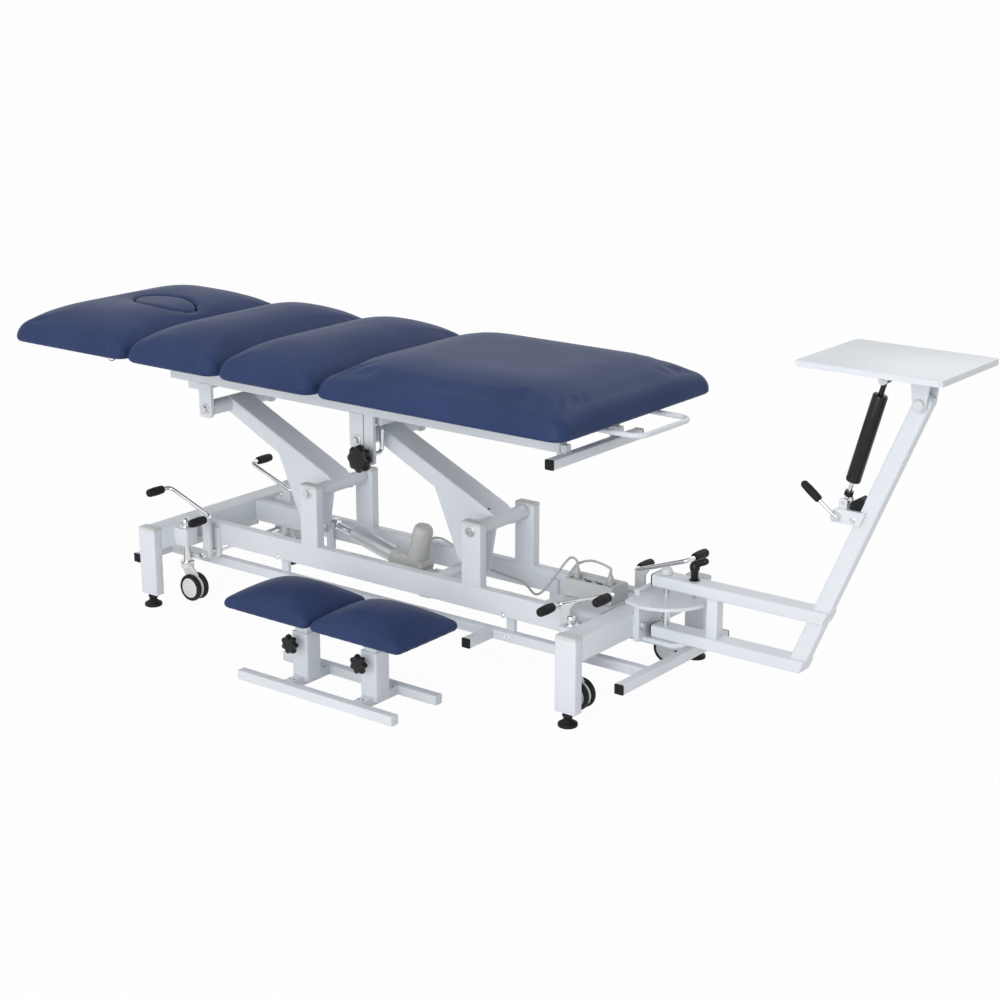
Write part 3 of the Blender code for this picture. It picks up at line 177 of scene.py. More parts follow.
def powder_coat():
    """Cool white powder coat: fine orange-peel relief, broad faint shifts of tone, a few duller scuffs."""
    f = Finish("powder_coat", (0.71, 0.745, 0.785), 0.36, Coat_Weight=0.06, Coat_Roughness=0.25)
    peel, broad, scuff = f.noise(620, 3), f.noise(4.5, 3), f.noise(26, 5, (1, 1, 3))
    worn = scuff.above(0.66, 0.74)
    tone = f.tint(broad.above(0.3, 0.7), (0.695, 0.73, 0.77), (0.73, 0.76, 0.795))
    f.feed({"Base Color": f.tint(worn * 0.35, tone, (0.63, 0.665, 0.70)),
            "Roughness": 0.30 + peel * 0.08 + worn * 0.12})
    f.relief(peel, 0.10, 0.0003)
    return f


def navy_vinyl():
    """Upholstery vinyl: small rounded grain cells, pores between them, slow shifts of tone and gloss."""
    f = Finish("navy_vinyl", (0.032, 0.050, 0.128), 0.45, Specular_IOR_Level=0.09)
    grain, pores, broad = f.cells(620, "SMOOTH_F1"), f.noise(1500, 2), f.noise(7, 3)
    tone = f.tint(broad.above(0.3, 0.72), (0.028, 0.045, 0.116), (0.036, 0.056, 0.142))
    f.feed({"Base Color": f.tint(grain.above(0.45, 0.95) * 0.5, tone, (0.018, 0.028, 0.076)),
            "Roughness": 0.42 + pores * 0.10 - broad * 0.06})
    f.relief(pores * 0.25 - grain, 0.22, 0.0004)
    return f


def bright_chrome():
    """Plated steel: mirror with hairline drawing marks and faint smears."""
    f = Finish("bright_chrome", (0.72, 0.72, 0.73), 0.12, 1.0)
    lines, smear = f.noise(900, 2, (1, 1, 0.05)), f.noise(30, 3)
    f.feed({"Base Color": f.tint(smear, (0.66, 0.66, 0.67), (0.78, 0.78, 0.79)),
            "Roughness": 0.07 + smear * 0.10 + lines * 0.05})
    f.relief(lines, 0.03, 0.0001)
    return f


def zinc_plate():
    """Bolt heads: pale bright zinc, cloudy, softer than chrome."""
    f = Finish("zinc_plate", (0.66, 0.67, 0.68), 0.34, 0.85)
    cloud = f.noise(140, 4)
    f.feed({"Base Color": f.tint(cloud, (0.56, 0.57, 0.58), (0.74, 0.75, 0.76)),
            "Roughness": 0.26 + cloud * 0.18})
    f.relief(cloud, 0.05, 0.0002)
    return f


def black_moulding():
    """Knobs and levers: black moulded plastic, glossy skin with faint sink marks."""
    f = Finish("black_moulding", (0.007, 0.007, 0.008), 0.26, Specular_IOR_Level=0.30)
    skin, broad = f.noise(850, 2), f.noise(60, 3)
    f.feed({"Base Color": f.tint(broad, (0.005, 0.005, 0.006), (0.010, 0.010, 0.011)),
            "Roughness": 0.20 + broad * 0.14 + skin * 0.05})
    f.relief(skin * 0.3 + broad, 0.06, 0.0004)
    return f


def grip_rubber():
    """Soft black sleeves, feet and end caps: matt, fine pores, a dusty bloom in patches."""
    f = Finish("grip_rubber", (0.008, 0.008, 0.009), 0.58, Specular_IOR_Level=0.22)
    pores, bloom = f.noise(1200, 2), f.noise(45, 4)
    f.feed({"Base Color": f.tint(bloom.above(0.45, 0.8), (0.007, 0.007, 0.008), (0.016, 0.016, 0.017)),
            "Roughness": 0.48 + pores * 0.16})
    f.relief(pores, 0.16, 0.0004)
    return f


def tyre_rubber():
    """Castor tread: black rubber with dust ground into it."""
    f = Finish("tyre_rubber", (0.010, 0.010, 0.011), 0.55, Specular_IOR_Level=0.25)
    dust, pores = f.noise(70, 4), f.noise(900, 2)
    f.feed({"Base Color": f.tint(dust.above(0.5, 0.85), (0.008, 0.008, 0.009), (0.030, 0.029, 0.028)),
            "Roughness": 0.45 + dust * 0.2})
    f.relief(pores, 0.10, 0.0003)
    return f


def pale_plastic(name, colour, low):
    """Pale moulded plastic with a fine spark-eroded skin and slow shifts of tone from colour to low."""
    f = Finish(name, colour, 0.45)
    spark, broad = f.noise(1400, 2), f.noise(18, 3)
    f.feed({"Base Color": f.tint(broad.above(0.3, 0.75), colour, low), "Roughness": 0.40 + spark * 0.14})
    f.relief(spark, 0.14, 0.0002)
    return f


def silver_tube():
    """The actuator's outer tube: satin anodised aluminium, drawn along its length."""
    f = Finish("silver_tube", (0.60, 0.62, 0.64), 0.36, 0.55)
    drawn, broad = f.noise(500, 2, (0.06, 1, 0.3)), f.noise(14, 2)
    f.feed({"Base Color": f.tint(broad, (0.55, 0.57, 0.59), (0.66, 0.68, 0.70)),
            "Roughness": 0.28 + drawn * 0.16})
    f.relief(drawn, 0.04, 0.0002)
    return f


def gas_black():
    """The gas spring's tube: satin black paint with tiny dust nibs."""
    f = Finish("gas_black", (0.008, 0.008, 0.009), 0.28, Specular_IOR_Level=0.30)
    nibs, broad = f.noise(700, 3), f.noise(25, 2)
    f.feed({"Base Color": f.tint(broad, (0.006, 0.006, 0.007), (0.012, 0.012, 0.013)),
            "Roughness": 0.24 + nibs * 0.12})
    f.relief(nibs.above(0.6, 0.8), 0.08, 0.0002)
    return f


COAT, VINYL, CHROME, ZINC = powder_coat(), navy_vinyl(), bright_chrome(), zinc_plate()
BLACK, GRIP, TYRE = black_moulding(), grip_rubber(), tyre_rubber()
CAP = pale_plastic("tube_cap_beige", (0.66, 0.67, 0.66), (0.60, 0.61, 0.60))
HOOD = pale_plastic("castor_hood_white", (0.76, 0.76, 0.74), (0.71, 0.71, 0.69))
DISC = pale_plastic("castor_disc_grey", (0.70, 0.71, 0.72), (0.64, 0.65, 0.66))
MOTOR = pale_plastic("motor_beige", (0.53, 0.53, 0.51), (0.48, 0.48, 0.46))
CASE = pale_plastic("control_grey", (0.58, 0.59, 0.59), (0.53, 0.54, 0.54))
LEAD = pale_plastic("lead_grey", (0.52, 0.52, 0.51), (0.44, 0.44, 0.43))
SILVER, GAS = silver_tube(), gas_black()
# The record's material slot that each finish belongs to
SLOT = {
    COAT: "white_paint", VINYL: "navy_vinyl",
    CHROME: "bright_steel", ZINC: "bright_steel",
    BLACK: "black_plastic", GAS: "black_paint",
    GRIP: "black_rubber", TYRE: "black_rubber",
    **dict.fromkeys((CAP, HOOD, DISC, MOTOR, CASE, LEAD, SILVER), "grey_plastic"),
}


# Surfaces
def loft(rows, ring=False):
    """A skin over rows of points: row i joins row i + 1 point by point, and each row closes on itself.

    Its ends are capped, or joined in a ring. Faces come in groups, as arrays of corner numbers.
    """
    rows = np.asarray(rows, float)
    m, n = rows.shape[:2]
    i, k = np.arange(m if ring else m - 1)[:, None], np.arange(n)[None, :]
    nxt = (i + 1) % m
    right = (k + 1) % n
    quads = np.stack([i * n + k, i * n + right, nxt * n + right, nxt * n + k], -1)
    groups = [quads.reshape(-1, 4)]
    if not ring:
        groups.append(np.stack([np.arange(n)[::-1], np.arange(n) + (m - 1) * n]))
    return rows.reshape(-1, 3), groups


def put(axis, a, b, t):
    """Points from a section's a and b and a station t: (x, z) along y, (x, y) along z, (y, z) along x."""
    a, b, t = np.broadcast_arrays(a, b, t)
    return np.stack({"x": (t, a, b), "y": (a, t, b), "z": (a, b, t)}[axis], -1)


def round_rect(a0, a1, b0, b1, r, steps=5):
    """A rectangle whose corners are quarter circles of radius r, as an array of points."""
    turn = np.linspace(0, np.pi / 2, steps + 1)
    t = np.concatenate([turn + k * np.pi / 2 for k in range(4)])
    ca = np.repeat([a1 - r, a0 + r, a0 + r, a1 - r], steps + 1)
    cb = np.repeat([b1 - r, b1 - r, b0 + r, b0 + r], steps + 1)
    return np.c_[ca + r * np.cos(t), cb + r * np.sin(t)]


def bar(axis, a0, a1, b0, b1, lo, hi, r=0.0045, ease=0.0007, steps=5):
    """A rectangular tube: a round-cornered section carried along an axis, drawn in by ease at its ends."""
    pts = round_rect(a0, a1, b0, b1, r, steps)
    mid = np.array([(a0 + a1) / 2, (b0 + b1) / 2])
    half = np.array([(a1 - a0) / 2, (b1 - b0) / 2])
    rows = [mid + (pts - mid) * (1 - d / half) for d in (ease, ease * 0.3, 0, 0, ease * 0.3, ease)]
    at = np.array([lo, lo + ease * 0.3, lo + ease, hi - ease, hi - ease * 0.3, hi])
    return loft([put(axis, p[:, 0], p[:, 1], t) for p, t in zip(rows, at)])


def plate(points, lo, hi, axis="y"):
    """A flat outline pushed along an axis."""
    p = np.asarray(points, float)
    return loft([put(axis, p[:, 0], p[:, 1], t) for t in (lo, hi)])


def block(x0, x1, y0, y1, z0, z1):
    """A plain box: its plan pushed from z0 up to z1."""
    return plate([(x0, y0), (x1, y0), (x1, y1), (x0, y1)], z0, z1, "z")


def sweep(path, r, n=18):
    """A round section along a path: each row is a circle square to it, turned least from the row before."""
    p = np.asarray(path, float)
    run = np.diff(p, axis=0)
    run /= np.linalg.norm(run, axis=1)[:, None]
    t = np.vstack([run[:1], run[:-1] + run[1:], run[-1:]])
    t /= np.linalg.norm(t, axis=1)[:, None]
    up = np.zeros_like(p)
    u = np.cross(t[0], [0.31, 0.52, 0.79])
    for i in range(len(p)):
        u = u - t[i] * (u @ t[i])
        u = u / np.linalg.norm(u)
        up[i] = u
    side = np.cross(t, up)
    a = 2 * np.pi * np.arange(n) / n
    r = np.broadcast_to(r, len(p))[:, None, None]
    circle = np.cos(a)[None, :, None] * up[:, None] + np.sin(a)[None, :, None] * side[:, None]
    return loft(p[:, None] + r * circle)


def rod(p, q, r, n=24, ease=0.0008):
    """A round bar from p to q with its two edges broken by ease."""
    p, q = np.asarray(p, float), np.asarray(q, float)
    d = (q - p) / np.linalg.norm(q - p) * ease
    return sweep([p, p + d, q - d, q], [r - ease, r, r, r - ease], n)


def bent(path, r, steps=6):
    """The same path with its inner corners turned into arcs of radius r."""
    pts = [np.asarray(p, float) for p in path]
    out = [pts[0]]
    for a, b, c in zip(pts, pts[1:], pts[2:]):
        u, v = (a - b) / np.linalg.norm(a - b), (c - b) / np.linalg.norm(c - b)
        half = np.arccos(np.clip(u @ v, -1, 1)) / 2
        mid = b + (u + v) / np.linalg.norm(u + v) * (r / np.sin(half))
        e, g = b + u * (r / np.tan(half)) - mid, b + v * (r / np.tan(half)) - mid
        turn = np.pi - 2 * half
        k = np.linspace(0, turn, steps + 1)[:, None]
        out += list(mid + (e * np.sin(turn - k) + g * np.sin(k)) / np.sin(turn))
    return np.array(out + [pts[-1]])


def soften(points, r, steps=5):
    """A closed flat outline with its corners turned into arcs of radius r."""
    p = [np.array([*q, 0.0]) for q in points]
    start = (p[-1] + p[0]) / 2
    return bent([start, *p, start], r, steps)[:-1, :2]


def spline(points, steps):
    """A smooth curve through the points, each stretch a cubic that leaves along its neighbours' chord."""
    p = np.asarray(points, float)
    p = np.vstack([2 * p[0] - p[1], p, 2 * p[-1] - p[-2]])
    t = (np.arange(steps) / steps)[None, :, None]
    a, b, c, d = (q[:, None] for q in (p[:-3], p[1:-2], p[2:-1], p[3:]))
    square, cube = 2 * a - 5 * b + 4 * c - d, 3 * b - a - 3 * c + d
    curve = (2 * b + (c - a) * t + square * t ** 2 + cube * t ** 3) / 2
    return np.vstack([curve.reshape(-1, 3), p[-2]])


def turned(profile, at, way=(0, 0, 1), n=40):
    """A turned piece: pairs of radius and height carried round an axis through at."""
    p = np.asarray(profile, float)
    w = np.asarray(way, float) / np.linalg.norm(way)
    u = np.cross(w, [1, 0, 0] if abs(w[0]) < 0.6 else [0, 0, 1])
    u /= np.linalg.norm(u)
    v = np.cross(w, u)
    a = 2 * np.pi * np.arange(n) / n
    circle = np.cos(a)[:, None] * u + np.sin(a)[:, None] * v
    radius, height = np.maximum(p[:, 0], 1e-5)[:, None, None], p[:, 1][:, None, None]
    return loft(np.asarray(at, float) + radius * circle[None] + height * w)


def lobed(at, r, depth, lobes, wave, way=(0, -1, 0), n=120):
    """A star knob: each row's radius swells lobes times round the axis, and rows roll in at both faces."""
    k = np.linspace(0, 1, 9)
    roll = np.r_[0.0, 0.80 + 0.20 * np.sin(k * np.pi) ** 0.45, 0.80 * 0.5, 0.0]
    high = np.r_[0.0, k, 1.03, 1.04] * depth
    a = 2 * np.pi * np.arange(n) / n
    w = np.asarray(way, float)
    u = np.array([1.0, 0, 0])
    v = np.cross(w, u)
    radius = np.maximum(r * roll, 1e-5)[:, None] * (1 + wave * np.cos(lobes * a))[None]
    circle = np.cos(a)[:, None] * u + np.sin(a)[:, None] * v
    return loft(np.asarray(at, float) + radius[..., None] * circle[None] + high[:, None, None] * w)


def bead(path, r=0.0022, pitch=0.0045):
    """A weld seam: a thin round run along a line, its radius rippling once per pitch."""
    p = np.asarray(path, float)
    step = np.linalg.norm(np.diff(p, axis=0), axis=1)
    s = np.r_[0, np.cumsum(step)]
    t = np.linspace(0, s[-1], max(6, int(s[-1] / 0.0015)))
    line = np.stack([np.interp(t, s, p[:, i]) for i in range(3)], -1)
    ends = np.clip(np.minimum(t, s[-1] - t) / 0.004, 0.25, 1)
    return sweep(line, r * ends * (1 + 0.16 * np.sin(2 * np.pi * t / pitch)), 8)


def hex_bolt(at, way, r=0.0095, h=0.0065, washer=1.55):
    """A hexagon head on a washer, its corners turned off at the top."""
    rim = r * washer
    disc = [(0, 0), (rim, 0), (rim, 0.0012), (rim - 0.0006, 0.0016), (0, 0.0016)]
    head = [(0, 0), (r, 0), (r, h * 0.82), (r * 0.86, h), (0, h)]
    seat = np.asarray(at, float) + 0.0015 * np.asarray(way, float)
    return [turned(disc, at, way), turned(head, seat, way, 6)]


def pan_head(at, way, r=0.005, h=0.003):
    """A low domed screw head with its socket sunk in the middle."""
    t = np.linspace(0, np.pi / 2, 7)
    dome = np.c_[r * np.cos(t), h * np.sin(t)]
    dome = dome[dome[:, 0] > r * 0.42]
    socket = [(r * 0.40, h * 0.9), (r * 0.36, h * 0.25), (0, h * 0.2)]
    return turned(np.vstack([[(0, -0.0005), (r, -0.0005)], dome, socket]), at, way, 28)


def shell_mesh(name, points, groups):
    """A mesh of closed shells in the frame's place, its faces turned outwards."""
    me = bpy.data.meshes.new(name)
    faces = [face for group in groups for face in group.tolist()]
    me.from_pydata((points + ORIGIN).tolist(), [], faces)
    bm = bmesh.new()
    bm.from_mesh(me)
    bmesh.ops.recalc_face_normals(bm, faces=bm.faces)
    bm.to_mesh(me)
    bm.free()
    return me


SHARP_ANGLE, BEVEL_ANGLE = math.radians(34), math.radians(40)


def piece(name, body, finish, shells, *nodes, bevel=0.0):
    """One named object of closed shells, riding on its body and standing for the nodes named."""
    points, groups, base = [], [], 0
    for own_points, own_groups in shells:
        points.append(own_points)
        groups += [group + base for group in own_groups]
        base += len(own_points)
    me = shell_mesh(name, np.vstack(points), groups)
    me.polygons.foreach_set("use_smooth", np.ones(len(me.polygons), bool))
    me.set_sharp_from_angle(angle=SHARP_ANGLE)
    me.materials.append(finish.material)
    ob = bpy.data.objects.new(name, me)
    scene.collection.objects.link(ob)
    if bevel:
        edge = ob.modifiers.new("broken_edges", "BEVEL")
        edge.width, edge.segments = bevel, 2
        edge.limit_method, edge.angle_limit = "ANGLE", BEVEL_ANGLE
    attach(ob, body)
    if nodes:
        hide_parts(*nodes)
    return ob


def tube_cap(x, y, hx, hy, z, r=0.0048, rise=0.0045):
    """A moulded cap on an upright tube: the tube's own section, a lip, then a low cushion-shaped top."""
    half = min(hx, hy)
    steps = [(0.0, -0.004), (-0.0004, -0.0038), (-0.0004, rise * 0.25), (0.0006, rise * 0.62),
             (0.0022, rise * 0.85), (0.006, rise), (half * 0.9, rise * 1.06)]
    rows = []
    for inset, h in steps:
        corner = max(min(r, half - inset - 0.0002), 0.0008)
        p = round_rect(x - hx + inset, x + hx - inset, y - hy + inset, y + hy - inset, corner)
        rows.append(put("z", p[:, 0], p[:, 1], z + h))
    return loft(rows)


def seam_round(axis, a0, a1, b0, b1, t, r=0.0022, sides="abcd"):
    """Weld seams round a tube's foot: one line for each named side of its section."""
    lines = {
        "a": ((a0, b0), (a1, b0)), "b": ((a1, b0), (a1, b1)),
        "c": ((a1, b1), (a0, b1)), "d": ((a0, b1), (a0, b0)),
    }
    return [bead(np.array([put(axis, *p, t), put(axis, *q, t)]), r) for p, q in (lines[k] for k in sides)]


def end_frames():
    """Cross beam on two capped legs, a sleeve for each castor's stem, levelling feet."""
    disc = [(0, 0), (0.0215, 0), (0.0235, 0.0012), (0.0240, 0.003), (0.0240, 0.0075), (0.0230, 0.0092),
            (0.0200, 0.0105), (0.0160, 0.0132), (0.0125, 0.0165), (0.0106, 0.0180), (0.0106, 0.0225),
            (0, 0.0225)]
    nut = [(0, 0.020), (0.0135, 0.0245), (0.0135, 0.0300), (0.0128, 0.0310), (0, 0.0310)]
    reach = FOOT_Y - TUBE_T / 2 + 0.001
    for sx, end in ENDS:
        x = sx * FOOT_X
        x0, x1 = x - TUBE_W / 2, x + TUBE_W / 2
        shells, caps = [bar("y", x0, x1, BEAM_Z0, BEAM_Z1, -reach, reach)], []
        for sy, side in SIDES:
            y = sy * FOOT_Y
            shells.append(bar("z", x0, x1, y - TUBE_T / 2, y + TUBE_T / 2, LEG_Z0, LEG_Z1))
            seam = (x0 + 0.003, x1 - 0.003, BEAM_Z0 + 0.003, BEAM_Z1 - 0.003)
            shells += seam_round("y", *seam, y - sy * (TUBE_T / 2 + 0.0005), sides="abd")
            caps.append(tube_cap(x, y, TUBE_W / 2, TUBE_T / 2, LEG_Z1))
            cy = sy * CASTOR_Y
            shells.append(bar("z", *span(sx, *SLEEVE_X), cy - SLEEVE_HALF, cy + SLEEVE_HALF, *SLEEVE_Z,
                              0.007))
            half, (z0, z1) = SLEEVE_HALF - 0.001, SLEEVE_Z
            seam = (cy - half, cy + half, z0 + 0.0025, z1 - 0.0025)
            shells += seam_round("x", *seam, sx * (SLEEVE_X[1] - 0.0015), 0.0018, "bd")
            ring = [(0.0118, 0.2140), (0.0165, 0.2140), (0.0170, 0.2150), (0.0170, 0.2170),
                    (0.0160, 0.2182), (0.0118, 0.2182)]
            piece(f"sleeve_ring_{end}_{side}", "base", CHROME, [turned(ring, (sx * CASTOR_X, cy, 0))])
            screw = rod((x, y, 0.022), (x, y, 0.0356), 0.0070)
            foot = [turned(disc, (x, y, 0)), turned(nut, (x, y, 0), n=6), screw]
            piece(f"levelling_foot_{end}_{side}", "base", GRIP, foot, f"level_foot_{end}_{side}")
        piece(f"end_frame_{end}_coat", "base", COAT, shells, f"end_frame_{end}")
        piece(f"leg_caps_{end}", "base", CAP, caps)


LEVER, LEVER_R = math.radians(8.96), 0.118
PIN = (PIVOTS[0] - LEVER_R * math.sin(LEVER), PIVOT_Z - LEVER_R * math.cos(LEVER))
ACT, ACT_LEN, ACT_UP = math.radians(13.96), 0.3493, 0.0053
ACT_RUN = np.array([math.cos(ACT), 0, -math.sin(ACT)])
ACT_RISE = np.array([math.sin(ACT), 0, math.cos(ACT)])


def on_act(s, up=0.0, y=0.0):
    """A point s along the actuator from its front pin, and up square to it."""
    return np.array([PIN[0], y, PIN[1]]) + ACT_RUN * s + ACT_RISE * up


TAIL = on_act(ACT_LEN, ACT_UP)
CROSS_X = TAIL[0] + 0.030
TAIL_LUG = (0.0165, 0.0225)
HANGER_X = (-0.376, 0.390)
SHELF_X, SHELF_Z = (0.490, 0.650), (0.206, 0.212)


def base_rails():
    """Two rails with four capped uprights, the actuator's cross tube and lugs, the control box's shelf."""
    shells, caps, screws = [], [], []
    rail_end, screw_z = FOOT_X - TUBE_W / 2 - GAP, BASE_RAIL_Z0 + 0.006
    for sy, _ in SIDES:
        y0, y1 = sy * RAIL_Y - TUBE_T / 2, sy * RAIL_Y + TUBE_T / 2
        shells.append(bar("x", y0, y1, BASE_RAIL_Z0, BASE_RAIL_Z1, -rail_end, rail_end))
        for sx, _ in ENDS:
            seam = (y0 + 0.003, y1 - 0.003, BASE_RAIL_Z0 + 0.002, BASE_RAIL_Z1 - 0.002)
            shells += seam_round("x", *seam, sx * (rail_end - 0.0006), 0.002, "bcd")
            lug = soften([(-0.020, 0.206), (-0.020, 0.122), (0.020, 0.122), (0.020, 0.206)], 0.011)
            outline = [(sx * SHAFT_X + a, b) for a, b in lug]
            shells.append(plate(outline, *span(sy, RAIL_OUT - 0.0005, RAIL_OUT + 0.008)))
        for px in PIVOTS:
            x0, x1 = px - TUBE_W / 2, px + TUBE_W / 2
            shells.append(bar("z", x0, x1, y0 + 0.0003, y1 - 0.0003, BASE_RAIL_Z0 + 0.020, UPRIGHT_Z1))
            seam = (x0 + 0.002, x1 - 0.002, y0 + 0.002, y1 - 0.002)
            shells += seam_round("z", *seam, BASE_RAIL_Z1 + 0.0005, 0.002, "bd")
            caps.append(tube_cap(px, sy * RAIL_Y, TUBE_W / 2, TUBE_T / 2 - 0.0003, UPRIGHT_Z1))
        washer = [(0, 0), (0.0082, 0), (0.0082, 0.0009), (0, 0.0009)]
        for x in HANGER_X:
            screws.append(pan_head((x, sy * (RAIL_OUT + 0.0002), screw_z), (0, sy, 0), 0.0058, 0.003))
            screws.append(turned(washer, (x, sy * (RAIL_OUT - 0.0003), screw_z), (0, sy, 0)))
        low, high = TAIL[2] - 0.014, TAIL[2] + 0.014
        lug = soften([(TAIL[0] - 0.012, low), (CROSS_X + 0.002, low), (CROSS_X + 0.002, high),
                      (TAIL[0] - 0.012, high)], 0.006)
        shells.append(plate(lug, *span(sy, *TAIL_LUG)))
    reach = RAIL_IN + 0.001
    shells.append(bar("y", CROSS_X, CROSS_X + 0.040, TAIL[2] - 0.022, TAIL[2] + 0.024, -reach, reach))
    shells.append(block(*SHELF_X, -reach, reach, *SHELF_Z))
    piece("base_rails_coat", "base", COAT, shells, "base_frame", bevel=0.0006)
    piece("upright_caps", "base", CAP, caps)
    piece("rail_screws", "base", CHROME, screws)
    head = [(0, 0), (0.008, 0), (0.008, 0.003), (0.0065, 0.004), (0, 0.004)]
    half = TAIL_LUG[1] + 0.003
    pin = [rod((TAIL[0], -half, TAIL[2]), (TAIL[0], half, TAIL[2]), 0.005)]
    pin += [turned(head, (TAIL[0], sy * TAIL_LUG[1], TAIL[2]), (0, sy, 0)) for sy, _ in SIDES]
    piece("actuator_tail_pin", "base", ZINC, pin)


def pivot_bolts():
    """A plain axle through each pivot with a washered hexagon head at both ends."""
    for name, xs, z, body in (("lower", PIVOTS, PIVOT_Z, "base"), ("upper", TOPS, TOP_Z, "top")):
        for x, (_, end) in zip(xs, ENDS):
            shells = [rod((x, -RAIL_OUT - 0.001, z), (x, RAIL_OUT + 0.001, z), 0.010)]
            for sy, _ in SIDES:
                shells += hex_bolt((x, sy * (RAIL_OUT + GAP), z), (0, sy, 0), 0.0105, 0.0070, 1.42)
            piece(f"{name}_pivot_bolt_{end}", body, ZINC, shells, f"{name}_axle_{end}")


ARM_LEN = np.linalg.norm(ARM)
ARM_RUN = ARM / ARM_LEN
ARM_UP = np.array([ARM[1], -ARM[0]]) / ARM_LEN
ARM_Y = 0.0404


def on_arm(px, t, n):
    """A point t along an arm from its lower pivot, and n above its middle line."""
    return tuple(np.array([px, PIVOT_Z]) + ARM_RUN * t + ARM_UP * n)


ARM_ROWS = ((0, 0.0192), (0.05, 0.0245), (0.25, 0.0239), (0.5, 0.0228), (0.75, 0.0216), (1, 0.0205))
LOW_TUBE, TOP_TUBE = 0.0180, 0.0210
GUSSET_IN = 0.0350


def lift_arms():
    """Box that narrows at both ends, two pivot tubes, and a flush gusset plate down to the lever's pin."""
    low_end, top_end = RAIL_IN - SIDE_PLAY, DROP_Y[0] - SIDE_PLAY
    for px, (_, end) in zip(PIVOTS, ENDS):
        pin = (px + PIN[0] - PIVOTS[0], PIN[1])
        rows = []
        for share, half in ARM_ROWS:
            p = round_rect(-0.040, 0.040, -half, half, 0.005)
            xz = np.array([px, PIVOT_Z]) + ARM * share + ARM_UP * p[:, 1:2]
            rows.append(np.c_[xz[:, 0], p[:, 0], xz[:, 1]])
        top = px + ARM[0]
        shells = [loft(rows), rod((px, -low_end, PIVOT_Z), (px, low_end, PIVOT_Z), LOW_TUBE, 40, 0.0012),
                  rod((top, -top_end, TOP_Z), (top, top_end, TOP_Z), TOP_TUBE, 40, 0.0012)]
        gusset = [on_arm(px, 0.20, 0.004), on_arm(px, 0.19, -0.022), (px - 0.118, PIVOT_Z - 0.085),
                  (px - 0.104, PIVOT_Z - 0.118), (pin[0] + 0.010, pin[1] - 0.015),
                  (px + 0.014, PIVOT_Z - 0.010), on_arm(px, 0.0, 0.010)]
        shells.append(plate(soften(gusset, 0.005), -ARM_Y, -GUSSET_IN))
        for sy, _ in SIDES:
            a = np.linspace(0.55 * np.pi, 1.95 * np.pi, 30)
            ring = LOW_TUBE + 0.0008
            weld = np.c_[px + ring * np.cos(a), np.full(30, sy * ARM_Y), PIVOT_Z + ring * np.sin(a)]
            shells.append(bead(weld, 0.0018))
            a = np.linspace(-0.5 * np.pi, 0.45 * np.pi, 22)
            ring = TOP_TUBE + 0.0006
            weld = np.c_[top + ring * np.cos(a), np.full(22, sy * 0.0400), TOP_Z + ring * np.sin(a)]
            shells.append(bead(weld, 0.0016))
        if end == "head":
            shells.append(rod((pin[0], -ARM_Y + 0.001, pin[1]), (pin[0], -0.0120, pin[1]), 0.0105))
            lever_pin(pin)
        piece(f"lift_arm_{end}_coat", f"arm_{end}", COAT, shells, f"lift_arm_{end}", bevel=0.0008)
    plug = [(0, -0.001), (0.0035, -0.001), (0.0035, 0.0004), (0.0025, 0.001), (0, 0.001)]
    hole = on_arm(PIVOTS[1], 0.026, 0.0247)
    dot = turned(plug, (hole[0], -0.033, hole[1]), (ARM_UP[0], 0, ARM_UP[1]), 20)
    piece("drain_plug", "arm_foot", GRIP, [dot])


def lever_pin(pin):
    """Bolt through the gusset, its spacer and the rod's eye, with a nut behind."""
    head = [(0, 0), (0.0095, 0), (0.0095, 0.0022), (0.008, 0.003), (0, 0.003)]
    nut = [(0.0058, 0), (0.0100, 0), (0.0100, 0.0055), (0.0090, 0.0065), (0.0058, 0.0065)]
    shells = [rod((pin[0], -ARM_Y, pin[1]), (pin[0], 0.0205, pin[1]), 0.006),
              turned(head, (pin[0], -ARM_Y, pin[1]), (0, -1, 0)),
              turned(nut, (pin[0], 0.0120, pin[1]), (0, 1, 0), 6)]
    piece("lever_pin_head", "arm_head", ZINC, shells)


